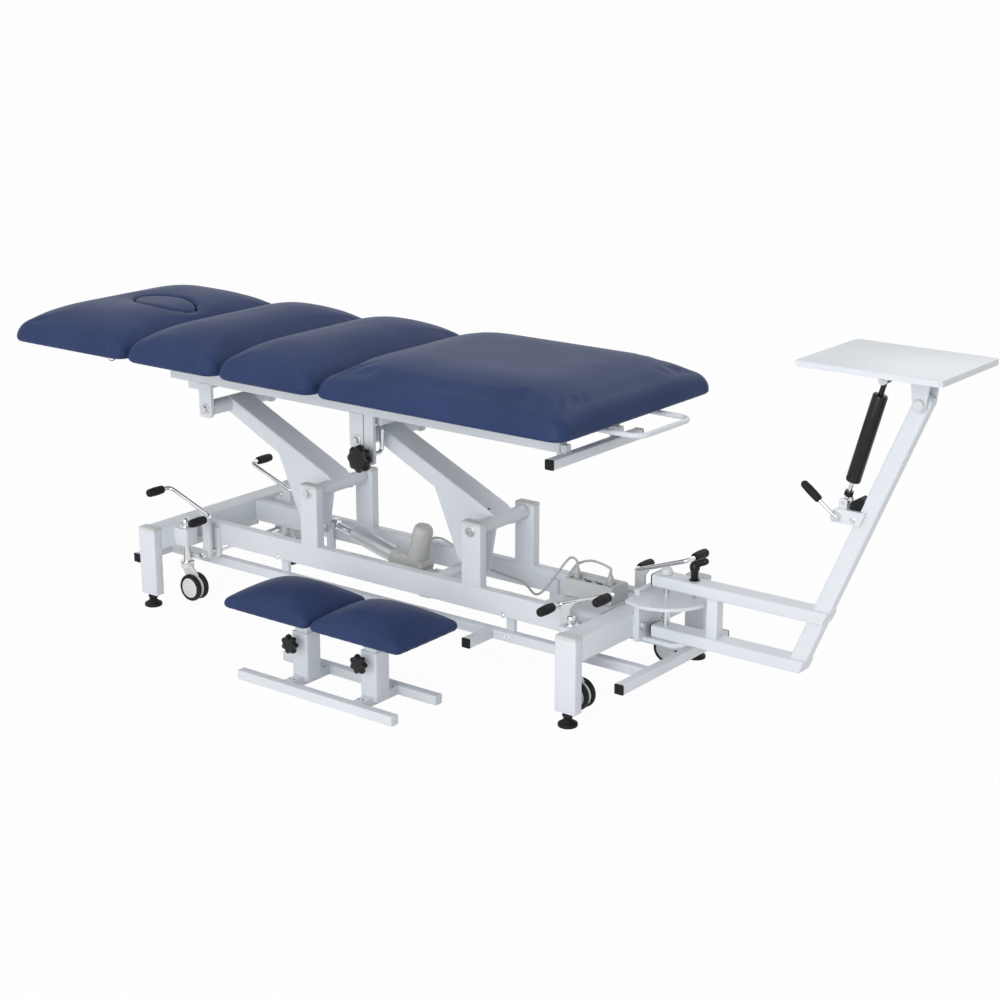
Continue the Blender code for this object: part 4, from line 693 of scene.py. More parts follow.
def actuator():
    """Bright rod in a silver tube with a collar at its mouth, gear case, upright motor can."""
    eye = [(0.0064, -0.0115), (0.0145, -0.0115), (0.015, -0.0105), (0.015, 0.0105), (0.0145, 0.0115),
           (0.0064, 0.0115)]
    shells = [rod(on_act(0.012), on_act(0.165), 0.009), turned(eye, on_act(0), (0, 1, 0))]
    piece("actuator_rod_bright", "rod", CHROME, shells, "actuator_rod")
    base = on_act(0, ACT_UP)
    tube = [(0.0158, 0.072), (0.0218, 0.072), (0.0226, 0.0735), (0.0226, 0.262), (0.0158, 0.262)]
    wiper = [(0.0105, 0.0715), (0.0150, 0.0715), (0.0157, 0.074), (0.0157, 0.080), (0.0145, 0.080)]
    piece("actuator_tube", "base", SILVER, [turned(tube, base, ACT_RUN), turned(wiper, base, ACT_RUN)],
          "actuator_body")
    collar = [(0.0225, 0.215), (0.0255, 0.215), (0.0265, 0.217), (0.0265, 0.2225), (0.0258, 0.2235),
              (0.0258, 0.2275), (0.0265, 0.2285), (0.0265, 0.250), (0.0225, 0.252)]
    piece("actuator_collar", "base", MOTOR, [turned(collar, base, ACT_RUN)])
    g0, g1 = ACT_LEN - 0.0993, ACT_LEN - 0.0213

    def side_on(pairs):
        """Outline points from pairs of place along the actuator and height above its body's axis."""
        return [tuple(on_act(s, ACT_UP + n)[[0, 2]]) for s, n in pairs]

    gear = side_on([(g0, -0.024), (g1 - 0.006, -0.024), (g1, -0.012), (g1, 0.020), (g1 - 0.010, 0.030),
                    (g0, 0.030)])
    ear = side_on([(g1 - 0.008, -0.011), (ACT_LEN + 0.009, -0.011), (ACT_LEN + 0.009, 0.011),
                   (g1 - 0.008, 0.011)])
    can = [(0, 0.02), (0.0275, 0.02), (0.0282, 0.024), (0.0275, 0.030), (0.0272, 0.095), (0.0265, 0.106),
           (0.0240, 0.115), (0.0195, 0.1205), (0.012, 0.1228), (0, 0.1232)]
    can_s = ACT_LEN - 0.0593
    shells = [plate(soften(gear, 0.004), -0.025, 0.025), plate(soften(ear, 0.0085), -0.015, 0.015),
              turned(can, on_act(can_s, ACT_UP), ACT_RISE, 48)]
    piece("motor_and_gearcase", "base", MOTOR, shells, bevel=0.0022)
    corners = [(s, n, y) for s in (g0 + 0.008, g1 - 0.009) for n in (-0.017, 0.021)
               for y in (-0.025, 0.025)]
    heads = [pan_head(on_act(s, ACT_UP + n, y), (0, math.copysign(1, y), 0), 0.0034, 0.0016)
             for s, n, y in corners]
    piece("gearcase_screws", "base", ZINC, heads)
    motor = on_act(can_s, ACT_UP + 0.070)
    gland = [(0, 0.0255), (0.0068, 0.0255), (0.0068, 0.0320), (0.0060, 0.0330), (0.0034, 0.0330)]
    piece("motor_gland", "base", LEAD, [turned(gland, (motor[0], 0, motor[2]), (0, 1, 0))])
    return motor


BOX_X, BOX_Y, BOX_Z = (0.505, 0.645), (-0.030, 0.046), (0.2124, 0.260)
PLUG_Y = sum(BOX_Y) / 2 - 0.014
PLUG_X = (BOX_X[0] + 0.022, BOX_X[1] - 0.018)


def control_box():
    """Case with a trough of sockets, ribs on its back and two plugs."""
    (x0, x1), (y0, y1), (z0, z1) = BOX_X, BOX_Y, BOX_Z
    outer = [(y0, z0 + 0.004), (y0 + 0.003, z0), (y1 - 0.003, z0), (y1, z0 + 0.004), (y1, z1 - 0.010),
             (y1 - 0.006, z1 - 0.002), (PLUG_Y + 0.021, z1)]
    trough = [(PLUG_Y + 0.018, z1 - 0.0015), (PLUG_Y + 0.016, z1 - 0.008), (y0 + 0.012, z1 - 0.008),
              (y0 + 0.010, z1 - 0.0015)]
    brow = [(y0 + 0.008, z1), (y0 + 0.0055, z1 - 0.0005), (y0 + 0.003, z1 - 0.003)]
    shells = [plate(outer + trough + brow, x0 + 0.006, x1 - 0.006, "x"),
              plate(outer + brow, x0, x0 + 0.0075, "x"), plate(outer + brow, x1 - 0.0075, x1, "x")]
    for x in np.linspace(x0 + 0.03, x1 - 0.03, 5):
        shells.append(block(x - 0.0008, x + 0.0008, y1 - 0.0006, y1 + 0.0006, z0 + 0.010, z1 - 0.016))
    piece("control_case", "base", CASE, shells, "control_box", bevel=0.0012)
    places = np.linspace(*PLUG_X, 4)
    rim = [(0.0045, 0.0), (0.0085, 0.0), (0.0088, 0.0006), (0.0088, 0.0016), (0.0078, 0.0024),
           (0.0052, 0.0024), (0.0045, 0.001)]
    floor_z = z1 - 0.0081
    sockets = [turned(rim, (x, PLUG_Y, floor_z)) for x in places[1:3]]
    sockets += [block(x - 0.003, x + 0.003, PLUG_Y + 0.011, PLUG_Y + 0.0145, floor_z, floor_z + 0.0013)
                for x in (places[:-1] + places[1:]) / 2]
    piece("control_sockets", "base", GRIP, sockets, bevel=0.0004)
    plug = [(0, -0.012), (0.0082, -0.012), (0.0085, -0.010), (0.0085, 0.006), (0.0078, 0.007),
            (0.0078, 0.009), (0.0084, 0.010), (0.0080, 0.016), (0.0066, 0.021), (0.0056, 0.0235),
            (0.0050, 0.0240), (0.0052, 0.0255), (0.0046, 0.0262), (0.0047, 0.0278), (0.0040, 0.0285),
            (0.0039, 0.030), (0, 0.030)]
    piece("control_plugs", "base", LEAD, [turned(plug, (x, PLUG_Y, z1)) for x in PLUG_X])


LEAD_D = 0.006


def leads(motor):
    """Two leads from the plugs: one to the motor's gland, one to the back rail's inner face."""
    (x0, _), (z0, z1), (a, b) = BOX_X, BOX_Z, PLUG_X
    top = z1 + 0.030 + GAP
    mx, mz = motor[0], motor[2]
    runs = {
        "motor_lead": [(a, PLUG_Y, top), (a, PLUG_Y, top + 0.004), (a, PLUG_Y, top + 0.010),
                       (a - 0.014, PLUG_Y, top + 0.016), (a - 0.036, PLUG_Y + 0.004, top),
                       (0.400, 0.010, 0.184), (0.300, 0.066, 0.182), (0.150, 0.074, 0.196),
                       (mx + 0.034, 0.074, mz - 0.010), (mx + 0.004, 0.062, mz), (mx, 0.046, mz),
                       (mx, 0.0274, mz)],
        "switch_lead": [(b, PLUG_Y, top), (b, PLUG_Y, top + 0.004), (b, PLUG_Y, top + 0.010),
                        (b - 0.024, PLUG_Y, top + 0.017), (b - 0.070, PLUG_Y + 0.014, top + 0.013),
                        (x0 + 0.006, PLUG_Y + 0.024, top - 0.008), (x0 - 0.016, PLUG_Y + 0.024, z1 - 0.008),
                        (x0 - 0.026, PLUG_Y + 0.024, z0 + 0.008), (x0 - 0.036, 0.026, z0 - 0.020),
                        (x0 - 0.044, 0.050, z0 - 0.030), (x0 - 0.046, 0.080, z0 - 0.030),
                        (x0 - 0.046, RAIL_IN - GAP, z0 - 0.030)],
    }
    for name, route in runs.items():
        line = spline(route, 10)
        ob = piece(f"{name}_sheath", "base", LEAD, [sweep(line, LEAD_D / 2, 14)], name)


LOCK = (-0.040, 0.500)
RAIL_X0, RAIL_X1 = -0.757, 0.555


def top_frame():
    """Two rails, two deep cross tubes, boards, pivot plates, lock lug and end bar."""
    half, reach, board_y = TUBE_T / 2, RAIL_IN + 0.001, 0.205
    shells = [bar("x", sy * RAIL_Y - half, sy * RAIL_Y + half, RAIL_Z0, RAIL_Z1, RAIL_X0, RAIL_X1)
              for sy, _ in SIDES]
    for x in (-0.720, TOPS[1] + 0.002):
        shells.append(bar("y", x, x + TUBE_W, RAIL_Z0 - 0.028, RAIL_Z1 - 0.014, -reach, reach))
    for x, width in ((-0.704, 0.040), (-0.421, 0.060), (-0.108, 0.040)):
        shells.append(block(x, x + width, -board_y, board_y, RAIL_Z1 - 0.002, SEAT_Z - GAP))
    bar_x, bar_z, bar_end = (0.561, 0.586), RAIL_Z0 - 0.024, 0.1872
    shells.append(bar("y", *bar_x, bar_z, bar_z + 0.025, -bar_end, bar_end, 0.003))
    hanger_x, hanger_z = (RAIL_X1 - 0.010, bar_x[0] + 0.012), (bar_z + 0.012, bar_z + 0.044)
    drop_face, root, low = DROP_Y[1] + 0.0006, RAIL_Z0 + 0.02, TOP_Z - 0.024
    for sy, _ in SIDES:
        shells.append(block(*hanger_x, sy * RAIL_Y - 0.010, sy * RAIL_Y + 0.010, *hanger_z))
        for x in TOPS:
            x0, x1 = x - 0.023, x + 0.023
            drop = soften([(x0, root), (x0, low), (x1, low), (x1, root)], 0.011)
            shells.append(plate(drop, *span(sy, *DROP_Y)))
            seam = [(end, sy * drop_face, RAIL_Z0 + 0.001) for end in (x0 - 0.0005, x1 + 0.0005)]
            shells.append(bead(seam, 0.0014))
    x0, x1, low = LOCK[0] - 0.015, LOCK[0] + 0.015, LOCK[1] - 0.022
    lug = soften([(x0, root), (x0, low), (x1, low), (x1, root)], 0.004)
    shells.append(plate(lug, -drop_face, -DROP_Y[0]))
    piece("top_frame_coat", "top", COAT, shells, "top_frame", bevel=0.0006)
    caps = [bar("y", bar_x[0] - 0.0004, bar_x[1] + 0.0004, bar_z - 0.0004, bar_z + 0.0254,
                *span(sy, bar_end - 0.0002, bar_end + 0.0028), 0.0032, 0.0008) for sy, _ in SIDES]
    piece("end_bar_caps", "top", GRIP, caps)
    ends = ((RAIL_X0 - 0.0002, RAIL_X0 + 0.0028), (RAIL_X1 - 0.0002, RAIL_X1 + 0.0028))
    half = TUBE_T / 2 + 0.0002
    caps = [bar("x", sy * RAIL_Y - half, sy * RAIL_Y + half, RAIL_Z0 - 0.0002, RAIL_Z1 + 0.0002, *e, 0.0045,
                0.001) for sy, _ in SIDES for e in ends]
    piece("rail_end_caps", "top", CAP, caps)
    stops, stop_y, stop_z = [], -RAIL_OUT - 0.0025, (0.652, 0.6632)
    screw = [(0, 0), (0.0024, 0), (0.0024, 0.0012), (0, 0.0012)]
    for x in (-0.060, -0.023):
        stops.append(bar("x", stop_y, -RAIL_OUT + 0.0002, *stop_z, x - 0.006, x + 0.006, 0.001))
        stops.append(turned(screw, (x, stop_y, sum(stop_z) / 2), (0, -1, 0), 16))
    piece("rail_stops", "top", GRIP, stops)
    half = 0.152
    hinge = rod((HINGE[0], -half, HINGE[1]), (HINGE[0], half, HINGE[1]), 0.007)
    piece("hinge_rod_bright", "top", CHROME, [hinge], "head_hinge_rod")


def carriage_lock():
    """Lobed knob on a bright rod, whose bent end stands behind the front rail."""
    x, z = LOCK
    root, bend = -RAIL_OUT - 0.006, -0.076
    hub = [(0.0062, 0), (0.0120, 0), (0.0130, 0.003), (0.0135, 0.010), (0.0190, 0.0175), (0.0062, 0.0185)]
    knob = [lobed((x, root - 0.016, z), 0.0350, 0.026, 8, 0.065), turned(hub, (x, root, z), (0, -1, 0))]
    piece("lock_knob_star", "lock", BLACK, knob, "lock_knob")
    path = bent([(x, root - 0.018, z), (x, bend, z), (x, bend, z + 0.060)], 0.014, 8)
    piece("lock_rod", "lock", CHROME, [sweep(path, 0.006, 20)])
    bush = [(0.0068, 0), (0.0100, 0), (0.0104, 0.0005), (0.0104, 0.0020), (0.0068, 0.0024)]
    piece("lock_bush", "top", ZINC, [turned(bush, (x, -DROP_Y[1] - 0.0006, z), (0, -1, 0))])


def carriage():
    """Two runners, two boards and a loop handle of round bar."""
    z0, z1, x0, length = RAIL_Z1 + GAP, SEAT_Z - GAP, -0.034, 0.62
    x1, half, board, board_y = x0 + length, 0.014, 0.05, 0.22
    shells = [bar("x", sy * RAIL_Y - half, sy * RAIL_Y + half, z0, z1, x0, x1, 0.003) for sy, _ in SIDES]
    shells += [block(x, x + board, -board_y, board_y, z0 + 0.006, z1) for x in (x0 + 0.02, x1 - 0.12)]
    root, end, loop_z = x1 - 0.020, 0.776, z0 + 0.011
    loop = [(root, -RAIL_Y), (end, -RAIL_Y), (end, RAIL_Y), (root, RAIL_Y)]
    shells.append(sweep(bent([(x, y, loop_z) for x, y in loop], 0.035, 10), 0.0065, 20))
    ring = [(0.0062, 0), (0.0090, 0), (0.0088, 0.0012), (0.0070, 0.004), (0.0062, 0.005)]
    shells += [turned(ring, (x1 - 0.0005, sy * RAIL_Y, loop_z), (1, 0, 0)) for sy, _ in SIDES]
    piece("carriage_coat", "carriage", COAT, shells, "slide_carriage", bevel=0.0006)


def head_frame():
    """Side plates on the hinge rod, two boards, a staple, and the ring that hangs in it."""
    hx, hz = HINGE
    low, top, far = SEAT_Z - 0.022, SEAT_Z - GAP, SECTIONS[0][0] + 0.060
    side = [(hx - 0.016, hz - 0.010), (hx - 0.012, hz - 0.014), (hx, hz - 0.014), (hx + 0.004, hz - 0.010),
            (hx + 0.006, top), (far, top), (far, low), (hx - 0.05, low)]
    shells = [plate(side, *span(sy, 0.130, 0.146)) for sy, _ in SIDES]
    shells += [block(x, x + 0.030, -0.138, 0.138, SEAT_Z - 0.020, SEAT_Z - 2 * GAP)
               for x in (far + 0.002, hx - 0.066)]
    rx, ry, rz = RING
    for x in (rx - 0.014, rx + 0.014):
        shells.append(block(x - 0.003, x + 0.003, ry - 0.005, ry + 0.005, rz - 0.005, SEAT_Z - 0.015))
    shells.append(rod((rx - 0.016, ry, rz), (rx + 0.016, ry, rz), 0.0028))
    piece("head_frame_coat", "head", COAT, shells, "head_frame", bevel=0.0006)
    a, b = 2 * np.pi * np.arange(64) / 64, 2 * np.pi * np.arange(14) / 14
    r = 0.017 + 0.0019 * np.cos(b)[None]
    ring = np.broadcast_arrays(rx + 0.0019 * np.sin(b)[None], ry + r * np.sin(a)[:, None],
                               rz - 0.0115 + r * np.cos(a)[:, None])
    piece("pull_ring_bright", "ring", CHROME, [loft(np.stack(ring, -1), ring=True)], "pull_ring")


def castors():
    """Bright stem with a collar, pale yoke and core between two black tyres on grey discs."""
    stem = [(0, 0.112), (0.0175, 0.112), (0.0192, 0.1126), (0.0200, 0.1138), (0.0200, 0.1172),
            (0.0190, 0.1182), (0.0115, 0.1186), (0.0110, 0.1192), (0.0110, 0.2300), (0.0106, 0.2335),
            (0.0092, 0.2365), (0.0066, 0.2388), (0.0030, 0.2399), (0, 0.2400)]
    hub = [(0, 0.098), (0.0150, 0.098), (0.0170, 0.0995), (0.0175, 0.1015), (0.0175, 0.1095),
           (0.0168, 0.1112), (0.0155, 0.1116), (0, 0.1116)]
    core = [(0.0046, -0.0046), (0.0310, -0.0046), (0.0325, -0.0040), (0.0332, -0.0028), (0.0332, 0.0028),
            (0.0325, 0.0040), (0.0310, 0.0046), (0.0046, 0.0046)]
    for sx, end in ENDS:
        for sy, side in SIDES:
            x, y, tag = sx * CASTOR_X, sy * CASTOR_Y, f"{end}_{side}"
            wx = x + TRAIL
            piece(f"castor_stem_{tag}_bright", f"stem_{tag}", CHROME, [turned(stem, (x, y, 0))],
                  f"castor_stem_{tag}")
            yoke = [(wx - 0.013, AXLE_Z - 0.004), (wx - 0.006, AXLE_Z - 0.012),
                    (wx + 0.006, AXLE_Z - 0.012), (wx + 0.013, AXLE_Z), (wx + 0.013, 0.082),
                    (wx + 0.006, 0.092), (x + 0.0160, 0.1060), (x + 0.014, 0.1075), (x - 0.014, 0.1075),
                    (x - 0.016, 0.1040), (x - 0.015, 0.094)]
            shells = [plate(yoke, y - 0.0045, y + 0.0045), turned(hub, (x, y, 0)),
                      turned(core, (wx, y, AXLE_Z), (0, 1, 0), 56)]
            piece(f"castor_yoke_{tag}", f"fork_{tag}", HOOD, shells, f"castor_fork_{tag}", bevel=0.0008)
            tyres, discs = [], []
            for s in (-1, 1):
                t = np.linspace(-1, 1, 15)
                tread = np.c_[WHEEL_R - 0.0032 * np.abs(t) ** 2.6, s * (0.0135 + 0.0072 * t)]
                wall = [(0.0300, s * 0.0207), (0.0282, s * 0.0204), (0.0272, s * 0.0192)]
                tyres.append(turned(np.vstack([[(0.0270, s * 0.0066)], tread, wall]), (wx, y, AXLE_Z),
                                    (0, 1, 0), 56))
                face = [(0.0042, s * 0.0062), (0.0272, s * 0.0062), (0.0276, s * 0.0080),
                        (0.0276, s * 0.0196), (0.0268, s * 0.0202), (0.0256, s * 0.0200),
                        (0.0250, s * 0.0194), (0.0244, s * 0.0196), (0.0200, s * 0.0206),
                        (0.0120, s * 0.0213), (0.0090, s * 0.0214), (0.0088, s * 0.0208),
                        (0.0080, s * 0.0206), (0, s * 0.0206)]
                discs.append(turned(face, (wx, y, AXLE_Z), (0, 1, 0), 56))
            discs.append(rod((wx, y - 0.0065, AXLE_Z), (wx, y + 0.0065, AXLE_Z), 0.004))
            piece(f"castor_discs_{tag}", f"wheel_{tag}", DISC, discs, f"castor_wheel_{tag}")
            piece(f"castor_tyres_{tag}", f"wheel_{tag}", TYRE, tyres)


def grip_sleeve(at, way, length, r):
    """A soft sleeve: a barrel with eleven shallow rings, rolled in at its root and rounded at its end."""
    s = np.linspace(0, 1, 40)
    rings = 0.00035 * np.sin(2 * np.pi * 11 * s) * (s > 0.12) * (s < 0.9)
    barrel = r * (0.82 + 0.18 * np.sin(np.pi * (s * 0.86 + 0.10))) + rings
    barrel *= np.clip((s + 0.02) / 0.06, 0.75, 1) * np.sqrt(np.clip((1.0 - s) / 0.10 + 0.06, 0, 1))
    radius, height = np.r_[0.5 * r, barrel, 0], np.r_[-0.0002, s * length, length + 0.0001]
    return turned(np.c_[radius, height], at, way, 32)


def castor_pedals():
    """Cross shaft with two arm plates, bent bright rods with sleeves, a finger over each stem's collar."""
    low, high, half = 0.244, 0.302, 0.188
    arm_y, rod_y, rod_end = (0.155, 0.165), 0.160, 0.236
    for sx, end in ENDS:
        def at(out, z):
            """A point in the side view, out from the shaft towards this end."""
            return (sx * (SHAFT_X + out), z)

        outer, inner = at(0.140, high), at(-0.020, low)
        bright = [rod((sx * SHAFT_X, -half, SHAFT_Z), (sx * SHAFT_X, half, SHAFT_Z), 0.008)]
        arms, sleeves = [], []
        arm = [at(0.014, SHAFT_Z - 0.006), at(0.014, low - 0.006), at(0.035, low + 0.0218),
               at(-0.006, low + 0.0068), at(-0.014, low - 0.001), at(-0.014, SHAFT_Z - 0.006),
               at(-0.008, SHAFT_Z - 0.012), at(0.008, SHAFT_Z - 0.012)]
        for sy, _ in SIDES:
            arms.append(plate(arm, *span(sy, *arm_y)))
            finger = (*span(sx, SHAFT_X + 0.001, CASTOR_X + 0.004), *span(sy, 0.176, 0.184))
            arms.append(block(*finger, SHAFT_Z - 0.0155, SHAFT_Z - 0.001))
            corners = [(outer, rod_end), (outer, rod_y), (inner, rod_y), (inner, rod_end)]
            path = bent([(p[0], sy * y, p[1]) for p, y in corners], 0.016, 8)
            bright.append(sweep(path, 0.006, 18))
            sleeves += [grip_sleeve((x, sy * 0.185, z), (0, sy, 0), 0.0598, 0.0120)
                        for x, z in (outer, inner)]
        piece(f"castor_pedal_{end}_rods", f"pedal_{end}", CHROME, bright, f"castor_pedal_{end}")
        piece(f"castor_pedal_{end}_arms", f"pedal_{end}", DISC, arms, bevel=0.0010)
        piece(f"castor_pedal_{end}_grips", f"pedal_{end}", GRIP, sleeves)


def foot_bar():
    """Two long bars, end bars and side stubs with black end caps, hangers with paired screws."""
    z0, z1, half = 0.090, 0.115, 0.0125
    side_y, end_x, stub_x = 0.103, 0.810, 0.338
    end_reach, stub_reach = 0.2320, 0.2072
    caps, screws = [], []

    def cap(x, sy, reach):
        """A black cap, a little larger than the bar, on a cross bar's end."""
        return bar("y", x - half - 0.0003, x + half + 0.0003, z0 - 0.0001, z1 + 0.0005,
                   *span(sy, reach - 0.0002, reach + 0.0028), 0.0032, 0.0008)

    long_x = end_x + 0.002
    shells = [bar("x", sy * side_y - half, sy * side_y + half, z0, z1, -long_x, long_x, 0.003)
              for sy, _ in SIDES]
    for sx, _ in ENDS:
        x = sx * end_x
        shells.append(bar("y", x - half, x + half, z0 + 0.0002, z1 + 0.0002, -end_reach, end_reach, 0.003))
        caps += [cap(x, sy, end_reach) for sy, _ in SIDES]
    for sy, _ in SIDES:
        stub = span(sy, side_y, stub_reach)
        shells.append(bar("y", stub_x - half, stub_x + half, z0 + 0.0002, z1 + 0.0002, *stub, 0.003))
        caps.append(cap(stub_x, sy, stub_reach))
        seam = (stub_x - 0.011, stub_x + 0.011, z0 + 0.001, z1 - 0.001)
        shells += seam_round("y", *seam, sy * (side_y + 0.013), 0.0015, "bd")
        face = sy * (side_y + half + 0.0001)
        for x in HANGER_X:
            shells.append(block(x - half, x + half, *span(sy, RAIL_IN - 0.010, RAIL_IN - GAP), z0 + 0.004,
                                0.200))
            screws += [pan_head((x + d, face, (z0 + z1) / 2), (0, sy, 0), 0.0042, 0.0022)
                       for d in (-0.0055, 0.0065)]
    piece("foot_bar_coat", "bar", COAT, shells, "foot_bar", bevel=0.0005)
    piece("foot_bar_caps", "bar", GRIP, caps)
    piece("foot_bar_screws", "bar", CHROME, screws)


LOW, HIGH = (0.1599, 0.1899), (0.288, 0.318)
TONGUE_Z, INDEX_Z = (0.150, 0.1595), (0.262, 0.270)
INDEX_R, HOLE_R = 0.115, 0.077


def stand_bracket():
    """Back plate on the foot-end beam, tongue, index quadrant with its holes as black discs of painted
    shade, rib; swing pin and its cap.
    """
    face, back_half, tongue_half = FOOT_X + TUBE_W / 2 + GAP, 0.056, 0.036
    root, front = face + 0.004, face + 0.014
    a = np.radians(np.linspace(-90, 100, 48))
    arc = list(zip(STAND_X + INDEX_R * np.cos(a), INDEX_R * np.sin(a)))
    tongue = soften([(root, -tongue_half), (STAND_X + 0.040, -tongue_half), (STAND_X + 0.062, -0.012),
                     (STAND_X + 0.062, 0.012), (STAND_X + 0.040, tongue_half), (root, tongue_half)], 0.005)
    shells = [block(face, front, -back_half, back_half, 0.152, 0.282),
              plate([(root, -0.10), *arc, (root, 0.10)], *INDEX_Z, "z"), plate(tongue, *TONGUE_Z, "z"),
              plate([(root, 0.200), (STAND_X + 0.085, INDEX_Z[0] + 0.002), (root, INDEX_Z[0] + 0.002)],
                    0.040, 0.046)]
    for y, z in ((back_half, INDEX_Z[1] + 0.0003), (tongue_half, TONGUE_Z[1] + 0.0005)):
        shells.append(bead([(front + 0.0005, -y, z), (front + 0.0005, y, z)], 0.0022))
    shells += [bead([(face + 0.0004, y, 0.154), (face + 0.0004, y, 0.221)], 0.0024)
               for y in (-back_half - 0.0005, back_half + 0.0005)]
    piece("stand_bracket_coat", "base", COAT, shells, "stand_bracket", bevel=0.0008)
    # Painted shade: each empty hole in the quadrant is a thin black disc on its top face, standing for the
    # hole's dark inside.
    hole = [(0, -0.0006), (0.0055, -0.0006), (0.0055, 0.0002), (0.0050, 0.0003), (0, 0.0003)]
    turns = np.radians([30, 60, 90])
    hole_shade_discs = [turned(hole, (STAND_X + HOLE_R * math.cos(t), HOLE_R * math.sin(t), INDEX_Z[1]), n=28)
             for t in turns]
    piece("index_hole_shade_discs", "base", GRIP, hole_shade_discs)
    piece("bracket_bolts", "base", ZINC,
          [s for y in (-0.043, 0.043)
           for s in hex_bolt((front, y, 0.192), (1, 0, 0), 0.0085, 0.006)])
    top = HIGH[1]
    dome = [(0, top + GAP), (0.0135, top + GAP), (0.0140, top + 0.002), (0.0138, top + 0.0075),
            (0.0128, top + 0.0115), (0.0108, top + 0.0145), (0.0075, top + 0.0166), (0.0035, top + 0.0174),
            (0, top + 0.0175)]
    pin = [(0, TONGUE_Z[0] - 0.011), (0.008, TONGUE_Z[0] - 0.011), (0.008, top + 0.002), (0, top + 0.002)]
    nut = hex_bolt((STAND_X, 0, TONGUE_Z[0] - GAP), (0, 0, -1), 0.0095, 0.0075, 1.4)
    piece("swing_pin_bright", "base", CHROME, [turned(pin, (STAND_X, 0, 0)), *nut], "swing_pin")
    piece("swing_pin_cap", "base", DISC, [turned(dome, (STAND_X, 0, 0))])


POST_FOOT = np.array([1.145, 0.172])
POST_LEN = np.linalg.norm(np.array(TILT) - POST_FOOT)
POST_RUN = (np.array(TILT) - POST_FOOT) / POST_LEN
POST_HALF, STAND_TUBE = 0.020, 0.025


def on_post(t, n):
    """A point t up the slanted post from its foot, and n beside its middle line towards the foot end."""
    return np.stack([POST_FOOT[0] + POST_RUN[0] * t + POST_RUN[1] * n,
                     POST_FOOT[1] + POST_RUN[1] * t - POST_RUN[0] * n], -1)


def post_at(z, n=0.0):
    """How far along X the post's line, n beside its middle, stands at height z."""
    return POST_FOOT[0] + (POST_RUN[0] * (z - POST_FOOT[1]) + n) / POST_RUN[1]


def mitred_tube(x0, z0, z1):
    """A round-cornered section carried along X to an end that is cut along the post's outer face."""
    y, z = round_rect(-STAND_TUBE, STAND_TUBE, z0, z1, 0.0045).T
    return loft([put("x", y, z, x0), put("x", y, z, post_at(z, POST_HALF - 0.001))])


def slanted_post():
    """A round-cornered section carried up the slope: mitred foot, rounded top."""
    section = round_rect(-POST_HALF, POST_HALF, -0.015, 0.015, 0.004)
    mitre = 0.70 * section[:, 0] - 0.004
    stations = [(mitre, 1), (0.05, 1), (POST_LEN / 2, 1)]
    stations += [(POST_LEN + up, draw)
                 for up, draw in ((0.008, 1), (0.013, 0.93), (0.017, 0.80), (0.020, 0.55))]
    rows = []
    for t, draw in stations:
        xz = on_post(t + 0 * mitre, section[:, 0] * draw)
        rows.append(np.c_[xz[:, 0], section[:, 1] * draw, xz[:, 1]])
    return loft(rows)


